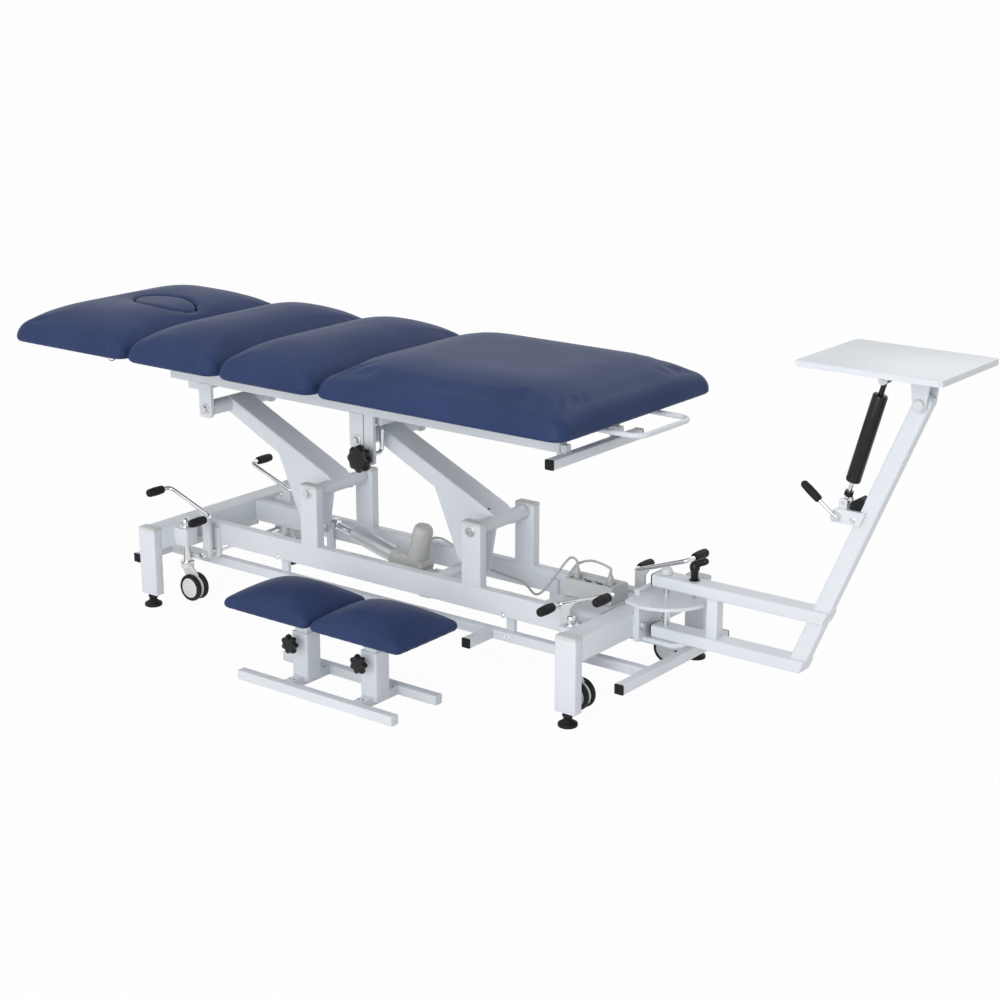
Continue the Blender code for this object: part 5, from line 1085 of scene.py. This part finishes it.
def swing_arm():
    """Two long tubes with capped ends, stay, slanted post, the gas spring's block and ears, tilt pin."""
    x0, stay_x, stay_half = STAND_X - 0.026, 0.920, 0.015
    stay = (stay_x - stay_half, stay_x + stay_half, -stay_half, stay_half)
    shells = [slanted_post(), mitred_tube(x0, *HIGH), mitred_tube(x0, *LOW),
              bar("z", *stay, LOW[1] - 0.004, HIGH[0] + 0.004, 0.003)]
    gx, gz = GAS_FOOT
    side = [(gx - 0.022, gz - 0.046), (gx + 0.045, gz - 0.046), (gx + 0.060, gz - 0.014),
            (gx - 0.014, gz - 0.014), (gx - 0.022, gz - 0.020)]
    shells.append(plate(soften(side, 0.0025), -0.024, 0.024))
    ear = soften([(gx - 0.010, gz - 0.018), (gx + 0.010, gz - 0.018), (gx + 0.010, gz + 0.009),
                  (gx - 0.010, gz + 0.009)], 0.006)
    shells += [plate(ear, *span(sy, *SPRING_EAR)) for sy, _ in SIDES]
    seam = np.array(stay) + (-0.0005, 0.0005, -0.0005, 0.0005)
    for z in (LOW[1] + 0.0006, HIGH[0] - 0.0006):
        shells += seam_round("z", *seam, z, 0.0018)
    for z0, z1 in (LOW, HIGH):
        ends = [(post_at(z, -POST_HALF), z) for z in (z0 + 0.002, z1 - 0.002)]
        shells += [bead([(x, sy * 0.0180, z) for x, z in ends], 0.0018) for sy, _ in SIDES]
    piece("swing_arm_coat", "swing", COAT, shells, "swing_arm", bevel=0.0007)
    half = STAND_TUBE + 0.0003
    caps = [bar("x", -half, half, z0 - 0.0002, z1 + 0.0002, x0 - 0.0034, x0 + 0.0002, 0.0048, 0.0009)
            for z0, z1 in (LOW, HIGH)]
    piece("swing_arm_caps", "swing", GRIP, caps)
    button = [(0, 0), (0.0135, 0), (0.0140, 0.001), (0.0138, 0.004), (0.0120, 0.0070), (0.0080, 0.0088),
              (0, 0.0094)]
    pins = [rod((TILT[0], -0.036, TILT[1]), (TILT[0], 0.036, TILT[1]), 0.007)]
    pins += [turned(button, (TILT[0], sy * (TILT_EAR[1] + 0.0003), TILT[1]), (0, sy, 0)) for sy, _ in SIDES]
    piece("tilt_pin", "swing", DISC, pins)
    rx, rz = RELEASE
    pins = [rod((gx, -0.019, gz), (gx, 0.019, gz), 0.004), rod((rx, -0.0445, rz), (rx, -0.020, rz), 0.0042)]
    pins += hex_bolt((rx, -0.0415, rz), (0, -1, 0), 0.0062, 0.004, 1.3)
    pins += hex_bolt((gx + 0.030, -0.024, gz - 0.034), (0, -1, 0), 0.005, 0.0035, 1.4)
    piece("spring_foot_pins", "swing", ZINC, pins)
    wedge = soften([(gx + 0.014, gz - 0.0142), (gx + 0.054, gz - 0.0142), (gx + 0.058, gz + 0.006),
                    (gx + 0.040, gz + 0.018), (gx + 0.018, gz + 0.004)], 0.003)
    piece("spring_block_pad", "swing", GRIP, [plate(wedge, -0.0145, 0.0145)], bevel=0.002)


def index_plunger():
    """Bright pin through the upper tube, black flange, body and slanted handle."""
    x, z = STAND_X + HOLE_R, HIGH[1] + GAP
    low = INDEX_Z[1] + 0.002
    pin = [(0, low), (0.0032, low), (0.004, low + 0.002), (0.004, z + 0.006), (0, z + 0.006)]
    piece("plunger_pin", "plunger", CHROME, [turned(pin, (x, 0, 0))], "index_plunger")
    body = [(0.0040, z + 0.0034), (0.0088, z + 0.0034), (0.0092, z + 0.0045), (0.0090, z + 0.020),
            (0.0112, z + 0.0245), (0.0125, z + 0.030), (0.0122, z + 0.037), (0.0095, z + 0.041),
            (0, z + 0.042)]
    t = np.linspace(0, 1, 24)
    tee = np.c_[x - 0.010 + 0.046 * t, 0 * t, z + 0.034 + 0.021 * t]
    handle = sweep(tee, 0.0088 * np.sqrt(np.clip(1 - (2 * t - 1) ** 8, 0.02, 1)), 22)
    piece("plunger_handle", "plunger", BLACK, [turned(body, (x, 0, 0)), handle])
    flange = [(0.0043, 0), (0.0133, 0), (0.0135, 0.0008), (0.0126, 0.0024), (0.0100, 0.0030),
              (0.0043, 0.0030)]
    piece("plunger_flange", "swing", BLACK, [turned([(r, z + h - 0.0002) for r, h in flange], (x, 0, 0))])


def platform():
    """Sheet with a low turned-down lip all round, rounded ears for the tilt pin and the gas spring."""
    x0, x1, half, z, t, lip = 1.181, 1.522, 0.140, 0.916, 0.004, 0.014
    edge = round_rect(x0, x1, -half, half, 0.006, 5)
    mid = (x0 + x1) / 2
    rows = ((0.001, z - t), (0, z - t + 0.0006), (0, z - 0.0016), (0.0006, z - 0.0005), (0.0018, z))
    shells = [loft([put("z", (edge[:, 0] - mid) * (1 - d / 0.17) + mid, edge[:, 1] * (1 - d / half), h)
                    for d, h in rows])]
    shells += [block(x, x + t, -half + 0.0055, half - 0.0055, z - lip, z - 0.0012)
               for x in (x0 + 0.0002, x1 - t - 0.0002)]
    low = z - lip + 0.0004
    shells += [block(x0 + 0.0055, x1 - 0.0055, *span(sy, half - t, half - 0.0002), low, z - 0.0012)
               for sy, _ in SIDES]
    ears = ((TILT, 0.026, TILT_EAR, 0.016), (GAS_TOP, 0.014, SPRING_EAR, 0.010))
    a = np.linspace(np.pi * 1.05, np.pi * 1.95, 14)
    for (cx, cz), w, ear_y, r in ears:
        ear = [(cx - w, z - t + 0.001), *zip(cx + r * np.cos(a), cz + r * np.sin(a)),
               (cx + w, z - t + 0.001)]
        shells += [plate(ear, *span(sy, *ear_y)) for sy, _ in SIDES]
    piece("platform_coat", "platform", COAT, shells, "tilt_platform", bevel=0.0005)
    pin = rod((GAS_TOP[0], -0.019, GAS_TOP[1]), (GAS_TOP[0], 0.019, GAS_TOP[1]), 0.004)
    piece("spring_top_pin", "platform", ZINC, [pin])


def gas_spring():
    """Bright rod with its lock nut, satin black tube with a rolled mouth and shoulder."""
    foot, top = (np.array([x, 0, z]) for x, z in (GAS_FOOT, GAS_TOP))
    long = np.linalg.norm(top - foot)
    way = (top - foot) / long
    eye = [(0.0046, -0.0085), (0.0090, -0.0085), (0.0095, -0.0078), (0.0095, 0.0078), (0.0090, 0.0085),
           (0.0046, 0.0085)]
    shells = [rod(foot + way * 0.008, foot + way * 0.190, 0.005), turned(eye, foot, (0, 1, 0))]
    piece("gas_rod_bright", "gas_low", CHROME, shells, "gas_rod")
    nut = [(0.0052, 0.014), (0.0098, 0.014), (0.0106, 0.0155), (0.0106, 0.0245), (0.0098, 0.026),
           (0.0052, 0.026)]
    piece("gas_rod_nut", "gas_low", BLACK, [turned(nut, foot, way, 8)])
    end = long - 0.036
    tube = [(0.0098, 0.050), (0.0150, 0.050), (0.0164, 0.0512), (0.0170, 0.0535), (0.0170, 0.060),
            (0.0166, 0.0612), (0.0166, 0.0625), (0.0170, 0.0637), (0.0170, end - 0.004),
            (0.0160, end - 0.0012), (0.0130, end - 0.0002), (0.0062, end), (0.0060, long - 0.008),
            (0, long - 0.008)]
    piece("gas_tube", "gas_high", GAS, [turned(tube, foot, way), turned(eye, top, (0, 1, 0))],
          "gas_cylinder")


def release_lever():
    """Boss on its pivot, a straight bright rod, a sleeve at the tip."""
    root = np.array([RELEASE[0], -0.033, RELEASE[1]])
    tip = root + (-0.086, 0, 0.066)
    long = np.linalg.norm(tip - root)
    way = (tip - root) / long
    boss = [(0.0047, -0.0080), (0.0080, -0.0080), (0.0085, -0.0073), (0.0085, 0.0080), (0.0080, 0.0084),
            (0.0047, 0.0084)]
    shells = [turned(boss, root, (0, 1, 0)), rod(root + way * 0.006, root + way * (long - 0.010), 0.0045)]
    piece("release_lever_rod", "lever", CHROME, shells, "release_lever")
    piece("release_lever_grip", "lever", GRIP,
          [grip_sleeve(root + way * (long - 0.058), way, 0.058, 0.0098)])


def stool():
    """Square bars on the floor, sleeves on the cross bars, inner posts with top plates, clamping knobs."""
    size, half = 0.025, 0.0125
    sleeve, bore, post = 0.025, 0.0207, 0.020
    y0, y1 = STOOL_Y - 0.094, STOOL_Y + 0.094
    bar_x = (STOOL_X[0] - 0.148, STOOL_X[1] + 0.130)
    shells = [bar("x", y, y + size, 0, size, *bar_x, 0.003) for y in (y0, y1 - size)]
    dots = []
    spot = [(0, -0.0004), (0.0024, -0.0004), (0.0024, 0.0003), (0, 0.0005)]
    collar = [(0.0048, 0), (0.0085, 0), (0.0085, 0.0045), (0.0080, 0.005), (0.0048, 0.005)]
    top = 0.136
    for x in STOOL_X:
        shells.append(bar("y", x - half, x + half, 0.0003, size - 0.0003, y0 + 0.01, y1 - 0.01, 0.003))
        outer = round_rect(x - sleeve, x + sleeve, STOOL_Y - sleeve, STOOL_Y + sleeve, 0.004)
        inner = round_rect(x - bore, x + bore, STOOL_Y - bore, STOOL_Y + bore, 0.003)
        rows = ((outer, 0.012), (outer, top - 0.0008), (outer * 0.99 + inner * 0.01, top),
                (inner * 0.95 + outer * 0.05, top), (inner, top - 0.0005), (inner, 0.029))
        shells.append(loft([put("z", p[:, 0], p[:, 1], z) for p, z in rows]))
        edge = sleeve - 0.0005
        seam = (x - edge, x + edge, STOOL_Y - edge, STOOL_Y + edge)
        shells += seam_round("z", *seam, size + 0.0002, 0.0018)
        shells.append(turned(collar, (x, STOOL_Y - sleeve + 0.0002, CLAMP_Z), (0, -1, 0), 6))
        dots += [turned(spot, (x + d, STOOL_Y + e, size - 0.0002), n=16) for d in (-0.0075, 0.0075)
                 for e in (-0.055, 0.055)]
    piece("stool_base_coat", "stool", COAT, shells, "stool_base", bevel=0.0005)
    piece("stool_base_plugs", "stool", GRIP, dots)
    hub = [(0.0042, 0), (0.0085, 0), (0.0095, 0.002), (0.0105, 0.0055), (0.0042, 0.006)]
    for x, side in zip(STOOL_X, ("left", "right")):
        around = (x - post, x + post, STOOL_Y - post, STOOL_Y + post)
        shells = [bar("z", *around, 0.031, STOOL_Z - 0.003, 0.004),
                  block(x - 0.080, x + 0.080, STOOL_Y - 0.085, STOOL_Y + 0.085, STOOL_Z - 0.0055,
                        STOOL_Z - GAP)]
        piece(f"stool_post_{side}_coat", f"seat_{side}", COAT, shells, f"stool_post_{side}", bevel=0.0006)
        star = [lobed((x, STOOL_Y - 0.050, CLAMP_Z), 0.0225, 0.0175, 7, 0.13),
                turned(hub, (x, STOOL_Y - 0.0455, CLAMP_Z), (0, -1, 0))]
        piece(f"stool_knob_{side}_star", f"knob_{side}", BLACK, star, f"stool_knob_{side}")
        stem = rod((x, STOOL_Y - post - GAP, CLAMP_Z), (x, STOOL_Y - 0.053, CLAMP_Z), 0.004)
        piece(f"stool_knob_{side}_stem", f"knob_{side}", CHROME, [stem])


# Padded sections
PAD_FOOT, PAD_POWER, SECTION_CORNER = 0.010, 2.4, 0.035
STAPLE_PITCH, HEM_WAVE = 0.034, 0.0008
PLEATS, PLEAT_DEPTH = 13, 0.0011


class Pad(NamedTuple):
    """A pad's four sides, heights at crown and edge, rolled edge, reach of its slope, corner radius."""

    x0: float
    x1: float
    y0: float
    y1: float
    crown: float
    edge: float
    roll: float
    reach: float
    corner: float


def section_pad(k):
    """The k-th section of the top, counted from the head."""
    return Pad(*SECTIONS[k], -PAD_Y, PAD_Y, PAD_H, edge=0.050, roll=0.030, reach=0.200,
               corner=SECTION_CORNER)


def stool_pad(x0, x1):
    """A stool pad between x0 and x1: lower and crisper than a section."""
    return Pad(x0, x1, -0.565, -0.331, crown=0.062, edge=0.025, roll=0.013, reach=0.135, corner=0.016)


def swell(t):
    """Rise from an edge (0) to the crown (1): 1 - (1 - t) to the power 2.4."""
    return 1 - (1 - np.clip(t, 0, 1)) ** PAD_POWER


def pad_height(pad, x, y, inset):
    """Rolled edge that rises as a quarter ellipse over its inset, then a crown swelling from all sides."""
    x0, x1, y0, y1, crown, edge, roll, reach, _ = pad
    dx, dy = np.minimum(x - x0, x1 - x), np.minimum(y - y0, y1 - y)
    dome = swell(dx / min(reach, (x1 - x0) / 2)) * swell(dy / min(reach, (y1 - y0) / 2))
    nose = np.sqrt(1 - (1 - min(inset / roll, 1)) ** 2)
    return PAD_FOOT + (edge - PAD_FOOT) * nose + (crown - edge) * dome


def pad_row(pad, inset, steps=8):
    """The pad's plan drawn in by inset, its corners tighter as it shrinks, each side with even points."""
    x0, x1, y0, y1 = pad[:4]
    left = min(x1 - x0, y1 - y0) / 2 - inset
    r = min(max(pad.corner - inset * 0.4, 0.012), left * 0.9)
    pts = round_rect(x0 + inset, x1 - inset, y0 + inset, y1 - inset, r, steps)
    corners = pts.reshape(4, steps + 1, 2)
    sides = np.linspace(corners[:, -1], np.roll(corners, -1, 0)[:, 0], 14, axis=1)[:, 1:-1]
    return np.concatenate([corners, sides], 1).reshape(-1, 2)


def pad_insets(pad):
    """Insets of a pad's rows: close over the rolled edge, then even to just short of the middle."""
    half = min(pad.x1 - pad.x0, pad.y1 - pad.y0) / 2
    return np.r_[pad.roll * np.linspace(0.02, 1, 12) ** 1.6, np.linspace(pad.roll, half * 0.96, 14)[1:]]


TUCK = ((0.010, 0.0), (0.003, 0.003), (0.0, PAD_FOOT))


def pad_shell(pad, z):
    """A pad on the height z: tucked rows under its edge, then rows drawn in over the roll and the crown."""
    rings = [put("z", *pad_row(pad, inset).T, z + h) for inset, h in TUCK]
    for inset in pad_insets(pad):
        x, y = pad_row(pad, inset).T
        rings.append(put("z", x, y, z + pad_height(pad, x, y, inset)))
    return loft(rings)


EVEN = 2 * np.pi * (np.arange(160) + 0.5) / 160 - np.pi


def oval(grow):
    """The face hole's ellipse, grown, at even turns about its middle."""
    a, b = FACE_A + grow, FACE_B + grow
    r = a * b / np.hypot(b * np.cos(EVEN), a * np.sin(EVEN))
    return np.c_[FACE_X + r * np.cos(EVEN), r * np.sin(EVEN)]


def from_face(pts):
    """An outline's points at even turns about the face hole: its radius read off between its own points."""
    dense = np.linspace(pts, np.roll(pts, -1, 0), 40, endpoint=False, axis=1).reshape(-1, 2)
    turn, far = np.arctan2(dense[:, 1], dense[:, 0] - FACE_X), np.hypot(dense[:, 0] - FACE_X, dense[:, 1])
    k = np.argsort(turn)
    r = np.interp(EVEN, turn[k], far[k], period=2 * np.pi)
    return np.c_[FACE_X + r * np.cos(EVEN), r * np.sin(EVEN)]


def head_top(ring, drop=0.0, inset=1.0):
    """A plan outline lifted to the head pad's top, less drop."""
    pad = section_pad(0)
    x, y = ring.T
    return put("z", x, y, SEAT_Z + pad_height(pad, x, y, inset) - drop)


def head_shell():
    """The head pad: outer rows as on any pad, then on to the face hole's rim and down its wall."""
    pad = section_pad(0)
    rings = [put("z", *from_face(pad_row(pad, inset)).T, SEAT_Z + h) for inset, h in TUCK]
    insets = pad_insets(pad)[:16]
    rings += [head_top(from_face(pad_row(pad, inset)), 0, inset) for inset in insets]
    brim, rim = from_face(pad_row(pad, insets[-1])), oval(0.010)
    rings += [head_top(brim + (rim - brim) * s) for s in (0.15, 0.3, 0.45, 0.6, 0.75, 0.9)]
    rings += [head_top(oval(grow), drop)
              for grow, drop in ((0.010, 0.0003), (0.006, 0.0016), (0.003, 0.0045), (0.001, 0.0085),
                                 (0, 0.014))]
    rings += [put("z", *oval(grow).T, SEAT_Z + h) for grow, h in ((0, 0.044), (0, 0.004), (0.004, 0))]
    return loft(rings, ring=True)


def plug_shell():
    """The plug: the hole's ellipse a little smaller, straight wall, shoulder running into the pad's top."""
    rings = [put("z", *oval(-grow).T, SEAT_Z + h)
             for grow, h in ((0.0055, 0.006), (0.0015, 0.012), (0.0015, 0.045))]
    shoulder = ((0.0015, 0.015), (0.0024, 0.009), (0.0050, 0.0045), (0.011, 0.0018), (0.020, 0.0008),
                (0.035, 0.0002), (0.055, 0))
    rings += [head_top(oval(-grow), drop) for grow, drop in shoulder]
    return loft(rings)


SEATS = ((-0.148, 0.1325), (0.1385, 0.422))


class Upholstery(NamedTuple):
    """A pad's body, the node it stands for, its shell, its foot's height, the size of its skin's quads."""

    body: str
    node: str
    shell: tuple
    foot: float
    voxel: float


def section(body, node, k, voxel):
    """A plain section of the top."""
    return Upholstery(body, node, pad_shell(section_pad(k), SEAT_Z), SEAT_Z, voxel)


def seat(side, ends):
    """One of the stool's two pads."""
    shell = pad_shell(stool_pad(*ends), STOOL_Z)
    return Upholstery(f"seat_{side}", f"stool_cushion_{side}", shell, STOOL_Z, 0.0042)


PADS = {
    "head_pad": Upholstery("head", "head_cushion", head_shell(), SEAT_Z, 0.0060),
    "face_plug_pad": Upholstery("plug", "face_plug", plug_shell(), SEAT_Z, 0.0042),
    "thorax_pad": section("top", "thorax_cushion", 1, 0.0062),
    "lumbar_pad": section("top", "lumbar_cushion", 2, 0.0062),
    "pelvic_pad": section("carriage", "pelvic_cushion", 3, 0.0072),
    "stool_pad_left": seat("left", SEATS[0]),
    "stool_pad_right": seat("right", SEATS[1]),
}


def coords(mesh):
    """A mesh's points as an array."""
    co = np.empty(len(mesh.vertices) * 3)
    mesh.vertices.foreach_get("co", co)
    return co.reshape(-1, 3)


def even_mesh(name, shell, voxel):
    """The shell remade as an even skin of small quads, ready to be blown up."""
    me = shell_mesh(name, *shell)
    ob = bpy.data.objects.new(name, me)
    scene.collection.objects.link(ob)
    mod = ob.modifiers.new("even", "REMESH")
    mod.mode = "VOXEL"
    mod.voxel_size = voxel
    even = bpy.data.meshes.new_from_object(ob.evaluated_get(bpy.context.evaluated_depsgraph_get()))
    ob.modifiers.clear()
    ob.data = even
    bpy.data.meshes.remove(me)
    even.name = name
    return ob


BLOW_FRAMES = 20


def blow_up(pads, start):
    """The pads' skins after a short cloth run under air pressure, held at hems and the face hole's wall."""
    for name, ob in pads.items():
        p = start[name]
        held = p[:, 2] < PADS[name].foot + 0.010
        if name in ("head_pad", "face_plug_pad"):
            d = p - ORIGIN
            held |= np.hypot((d[:, 0] - FACE_X) / (FACE_A + 0.010), d[:, 1] / (FACE_B + 0.010)) < 1.0
        group = ob.vertex_groups.new(name="held")
        group.add(np.nonzero(held)[0].tolist(), 1.0, "REPLACE")
        cloth = ob.modifiers.new("blow", "CLOTH")
        s = cloth.settings
        s.quality, s.mass, s.air_damping = 4, 0.3, 2.0
        s.tension_stiffness = s.compression_stiffness = 18
        s.shear_stiffness, s.bending_stiffness = 8, 2
        s.use_pressure = True
        s.uniform_pressure_force = 4.0
        s.effector_weights.gravity = 0
        s.vertex_group_mass = "held"
        cloth.collision_settings.use_collision = False
        cloth.point_cache.frame_start, cloth.point_cache.frame_end = 1, BLOW_FRAMES
    for f in range(1, BLOW_FRAMES + 1):
        scene.frame_set(f)
    view = bpy.context.evaluated_depsgraph_get()
    blown = {name: coords(ob.evaluated_get(view).data) for name, ob in pads.items()}
    for ob in pads.values():
        ob.modifiers.clear()
        ob.vertex_groups.clear()
    scene.frame_set(1)
    return blown


def hem(q, z0):
    """Tucked hem: the wall's foot waves in and out between staples, and corners gather in soft pleats."""
    lo, hi = q.min(0), q.max(0)
    mid, half = (lo + hi) / 2, (hi - lo) / 2
    foot = np.clip(1 - (q[:, 2] - z0) / 0.020, 0, 1) * (q[:, 2] > z0 + 0.0015)
    u, v = ((q[:, i] - mid[i]) / half[i] for i in (0, 1))
    wave = HEM_WAVE * foot
    q[:, 1] += np.sign(v) * (np.abs(v) > 0.93) * wave * (np.sin(2 * np.pi * q[:, 0] / STAPLE_PITCH) - 1)
    q[:, 0] += np.sign(u) * (np.abs(u) > 0.93) * wave * (np.sin(2 * np.pi * q[:, 1] / STAPLE_PITCH) - 1)
    in_x, in_y = half[0] - np.abs(q[:, 0] - mid[0]), half[1] - np.abs(q[:, 1] - mid[1])
    turn = np.arctan2(SECTION_CORNER - in_y, SECTION_CORNER - in_x)
    near = np.exp(-(np.hypot(in_x, in_y) / 0.040) ** 2) * np.clip(1 - (q[:, 2] - z0) / 0.060, 0, 1)
    away = q[:, :2] - mid[:2]
    away /= np.maximum(np.linalg.norm(away, axis=1), 1e-9)[:, None]
    q[:, :2] += away * (near * PLEAT_DEPTH * (np.cos(turn * PLEATS) - 1))[:, None]
    return q


def padded_sections():
    """Every pad as an even skin, moved by the cloth run within caps, hemmed, eased and subdivided once."""
    pads = {name: even_mesh(name, spec.shell, spec.voxel) for name, spec in PADS.items()}
    start = {name: coords(ob.data) for name, ob in pads.items()}
    blown = blow_up(pads, start)
    for name, ob in pads.items():
        spec = PADS[name]
        p, d = start[name], blown[name] - start[name]
        flat_cap, rise_cap = (0.0003, 0.0010) if name == "face_plug_pad" else (0.0022, 0.0060)
        d[:, :2] *= np.minimum(1, flat_cap / np.maximum(np.linalg.norm(d[:, :2], axis=1), 1e-9))[:, None]
        d[:, 2] = np.clip(d[:, 2], -0.002, rise_cap)
        q = p + d if name == "face_plug_pad" else hem(p + d, spec.foot)
        ob.data.vertices.foreach_set("co", q.ravel())
        ob.data.polygons.foreach_set("use_smooth", np.ones(len(ob.data.polygons), bool))
        ob.data.materials.clear()
        ob.data.materials.append(VINYL.material)
        ob.data.update()
        ease = ob.modifiers.new("ease", "SMOOTH")
        ease.factor, ease.iterations = 0.5, 4
        fine = ob.modifiers.new("fine", "SUBSURF")
        fine.levels = fine.render_levels = 1
        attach(ob, spec.body)
        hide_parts(spec.node)


# Studio: pale floor, soft lamps, the photograph's camera
def brightest(tree, sockets):
    """The largest of several 0-or-1 sockets, through Math nodes."""
    most = sockets[0]
    for socket in sockets[1:]:
        node = tree.nodes.new("ShaderNodeMath")
        node.operation = "MAXIMUM"
        tree.links.new(most, node.inputs[0])
        tree.links.new(socket, node.inputs[1])
        most = node.outputs[0]
    return most


def seen_rays(tree):
    """1 for rays from the camera, mirrored ones and ones through glass, else 0."""
    way = tree.nodes.new("ShaderNodeLightPath")
    return brightest(tree, [way.outputs[f"Is {kind} Ray"] for kind in ("Camera", "Glossy", "Transmission")])


FLOOR_GLOW, FLOOR_REACH = 0.96, 60.0


def studio_floor():
    """White floor: white to the camera and in mirrors, with a little of its shading left for shadows."""
    f = Finish("studio_floor", (0.93, 0.93, 0.93), 0.9)
    glow = f.tree.nodes.new("ShaderNodeEmission")
    mix = f.tree.nodes.new("ShaderNodeMixShader")
    share = Wire(f, seen_rays(f.tree)) * FLOOR_GLOW
    f.tree.links.new(share.socket, mix.inputs[0])
    f.tree.links.new(f.shader.outputs[0], mix.inputs[1])
    f.tree.links.new(glow.outputs[0], mix.inputs[2])
    end = next(n for n in f.tree.nodes if n.type == "OUTPUT_MATERIAL")
    f.tree.links.new(mix.outputs[0], end.inputs[0])
    r = FLOOR_REACH
    mesh = bpy.data.meshes.new("studio_floor")
    corners = [(x, y, -0.0006) for x, y in ((-r, -r), (r, -r), (r, r), (-r, r))]
    mesh.from_pydata(corners, [], [(0, 1, 2, 3)])
    mesh.materials.append(f.material)
    floor = bpy.data.objects.new("studio_floor", mesh)
    scene.collection.objects.link(floor)


def studio_world():
    """White to the camera, in reflections and through glass; a softer, cooler light on the object."""
    world = bpy.data.worlds.new("studio")
    scene.world = world
    world.use_nodes = True
    tree = world.node_tree
    tree.nodes.clear()
    soft, white = (tree.nodes.new("ShaderNodeBackground") for _ in range(2))
    soft.inputs["Color"].default_value = (0.96, 0.975, 1.0, 1)
    soft.inputs["Strength"].default_value = 0.55
    white.inputs["Color"].default_value = (1, 1, 1, 1)
    mix, final = tree.nodes.new("ShaderNodeMixShader"), tree.nodes.new("ShaderNodeOutputWorld")
    tree.links.new(seen_rays(tree), mix.inputs[0])
    tree.links.new(soft.outputs[0], mix.inputs[1])
    tree.links.new(white.outputs[0], mix.inputs[2])
    tree.links.new(mix.outputs[0], final.inputs[0])


# Each lamp's name, place, size in metres and power in watts
LAMPS = (
    ("key_lamp", (-0.6, -2.2, 3.8), 3.2, 26),
    ("front_lamp", (2.5, -9.0, 3.0), 6.0, 430),
    ("back_lamp", (0.5, 4.0, 3.0), 3.0, 28),
)


def aimed(name, data, at, way):
    """A lamp or camera at a place, looking along a way."""
    ob = bpy.data.objects.new(name, data)
    ob.location = at
    ob.rotation_euler = Vector(way).to_track_quat("-Z", "Y").to_euler()
    scene.collection.objects.link(ob)
    return ob


FOCAL_PX, PICTURE_PX, SENSOR_MM = 2004.55, 1000, 36
EYE, LOOK = (3.225, -3.836, 1.834), (-0.5837, 0.7613, -0.2823)


def lamps_and_camera():
    """Three square lamps aimed at the table, and the camera fitted to the photograph."""
    for name, at, size, power in LAMPS:
        lamp = bpy.data.lights.new(name, "AREA")
        lamp.size = size
        lamp.energy = power
        aimed(name, lamp, at, Vector((0, 0, 0.4)) - Vector(at))
    camera = bpy.data.cameras.new("photo_camera")
    camera.sensor_width = camera.sensor_height = SENSOR_MM
    camera.sensor_fit = "HORIZONTAL"
    camera.lens = SENSOR_MM * FOCAL_PX / PICTURE_PX
    camera.clip_end = 200
    scene.camera = aimed("photo_camera", camera, ORIGIN + EYE, LOOK)


end_frames()
base_rails()
pivot_bolts()
lift_arms()
motor_at = actuator()
control_box()
leads(motor_at)
top_frame()
carriage_lock()
carriage()
head_frame()
castors()
castor_pedals()
foot_bar()
stand_bracket()
swing_arm()
index_plunger()
platform()
gas_spring()
release_lever()
stool()
padded_sections()
studio_floor()
studio_world()
lamps_and_camera()
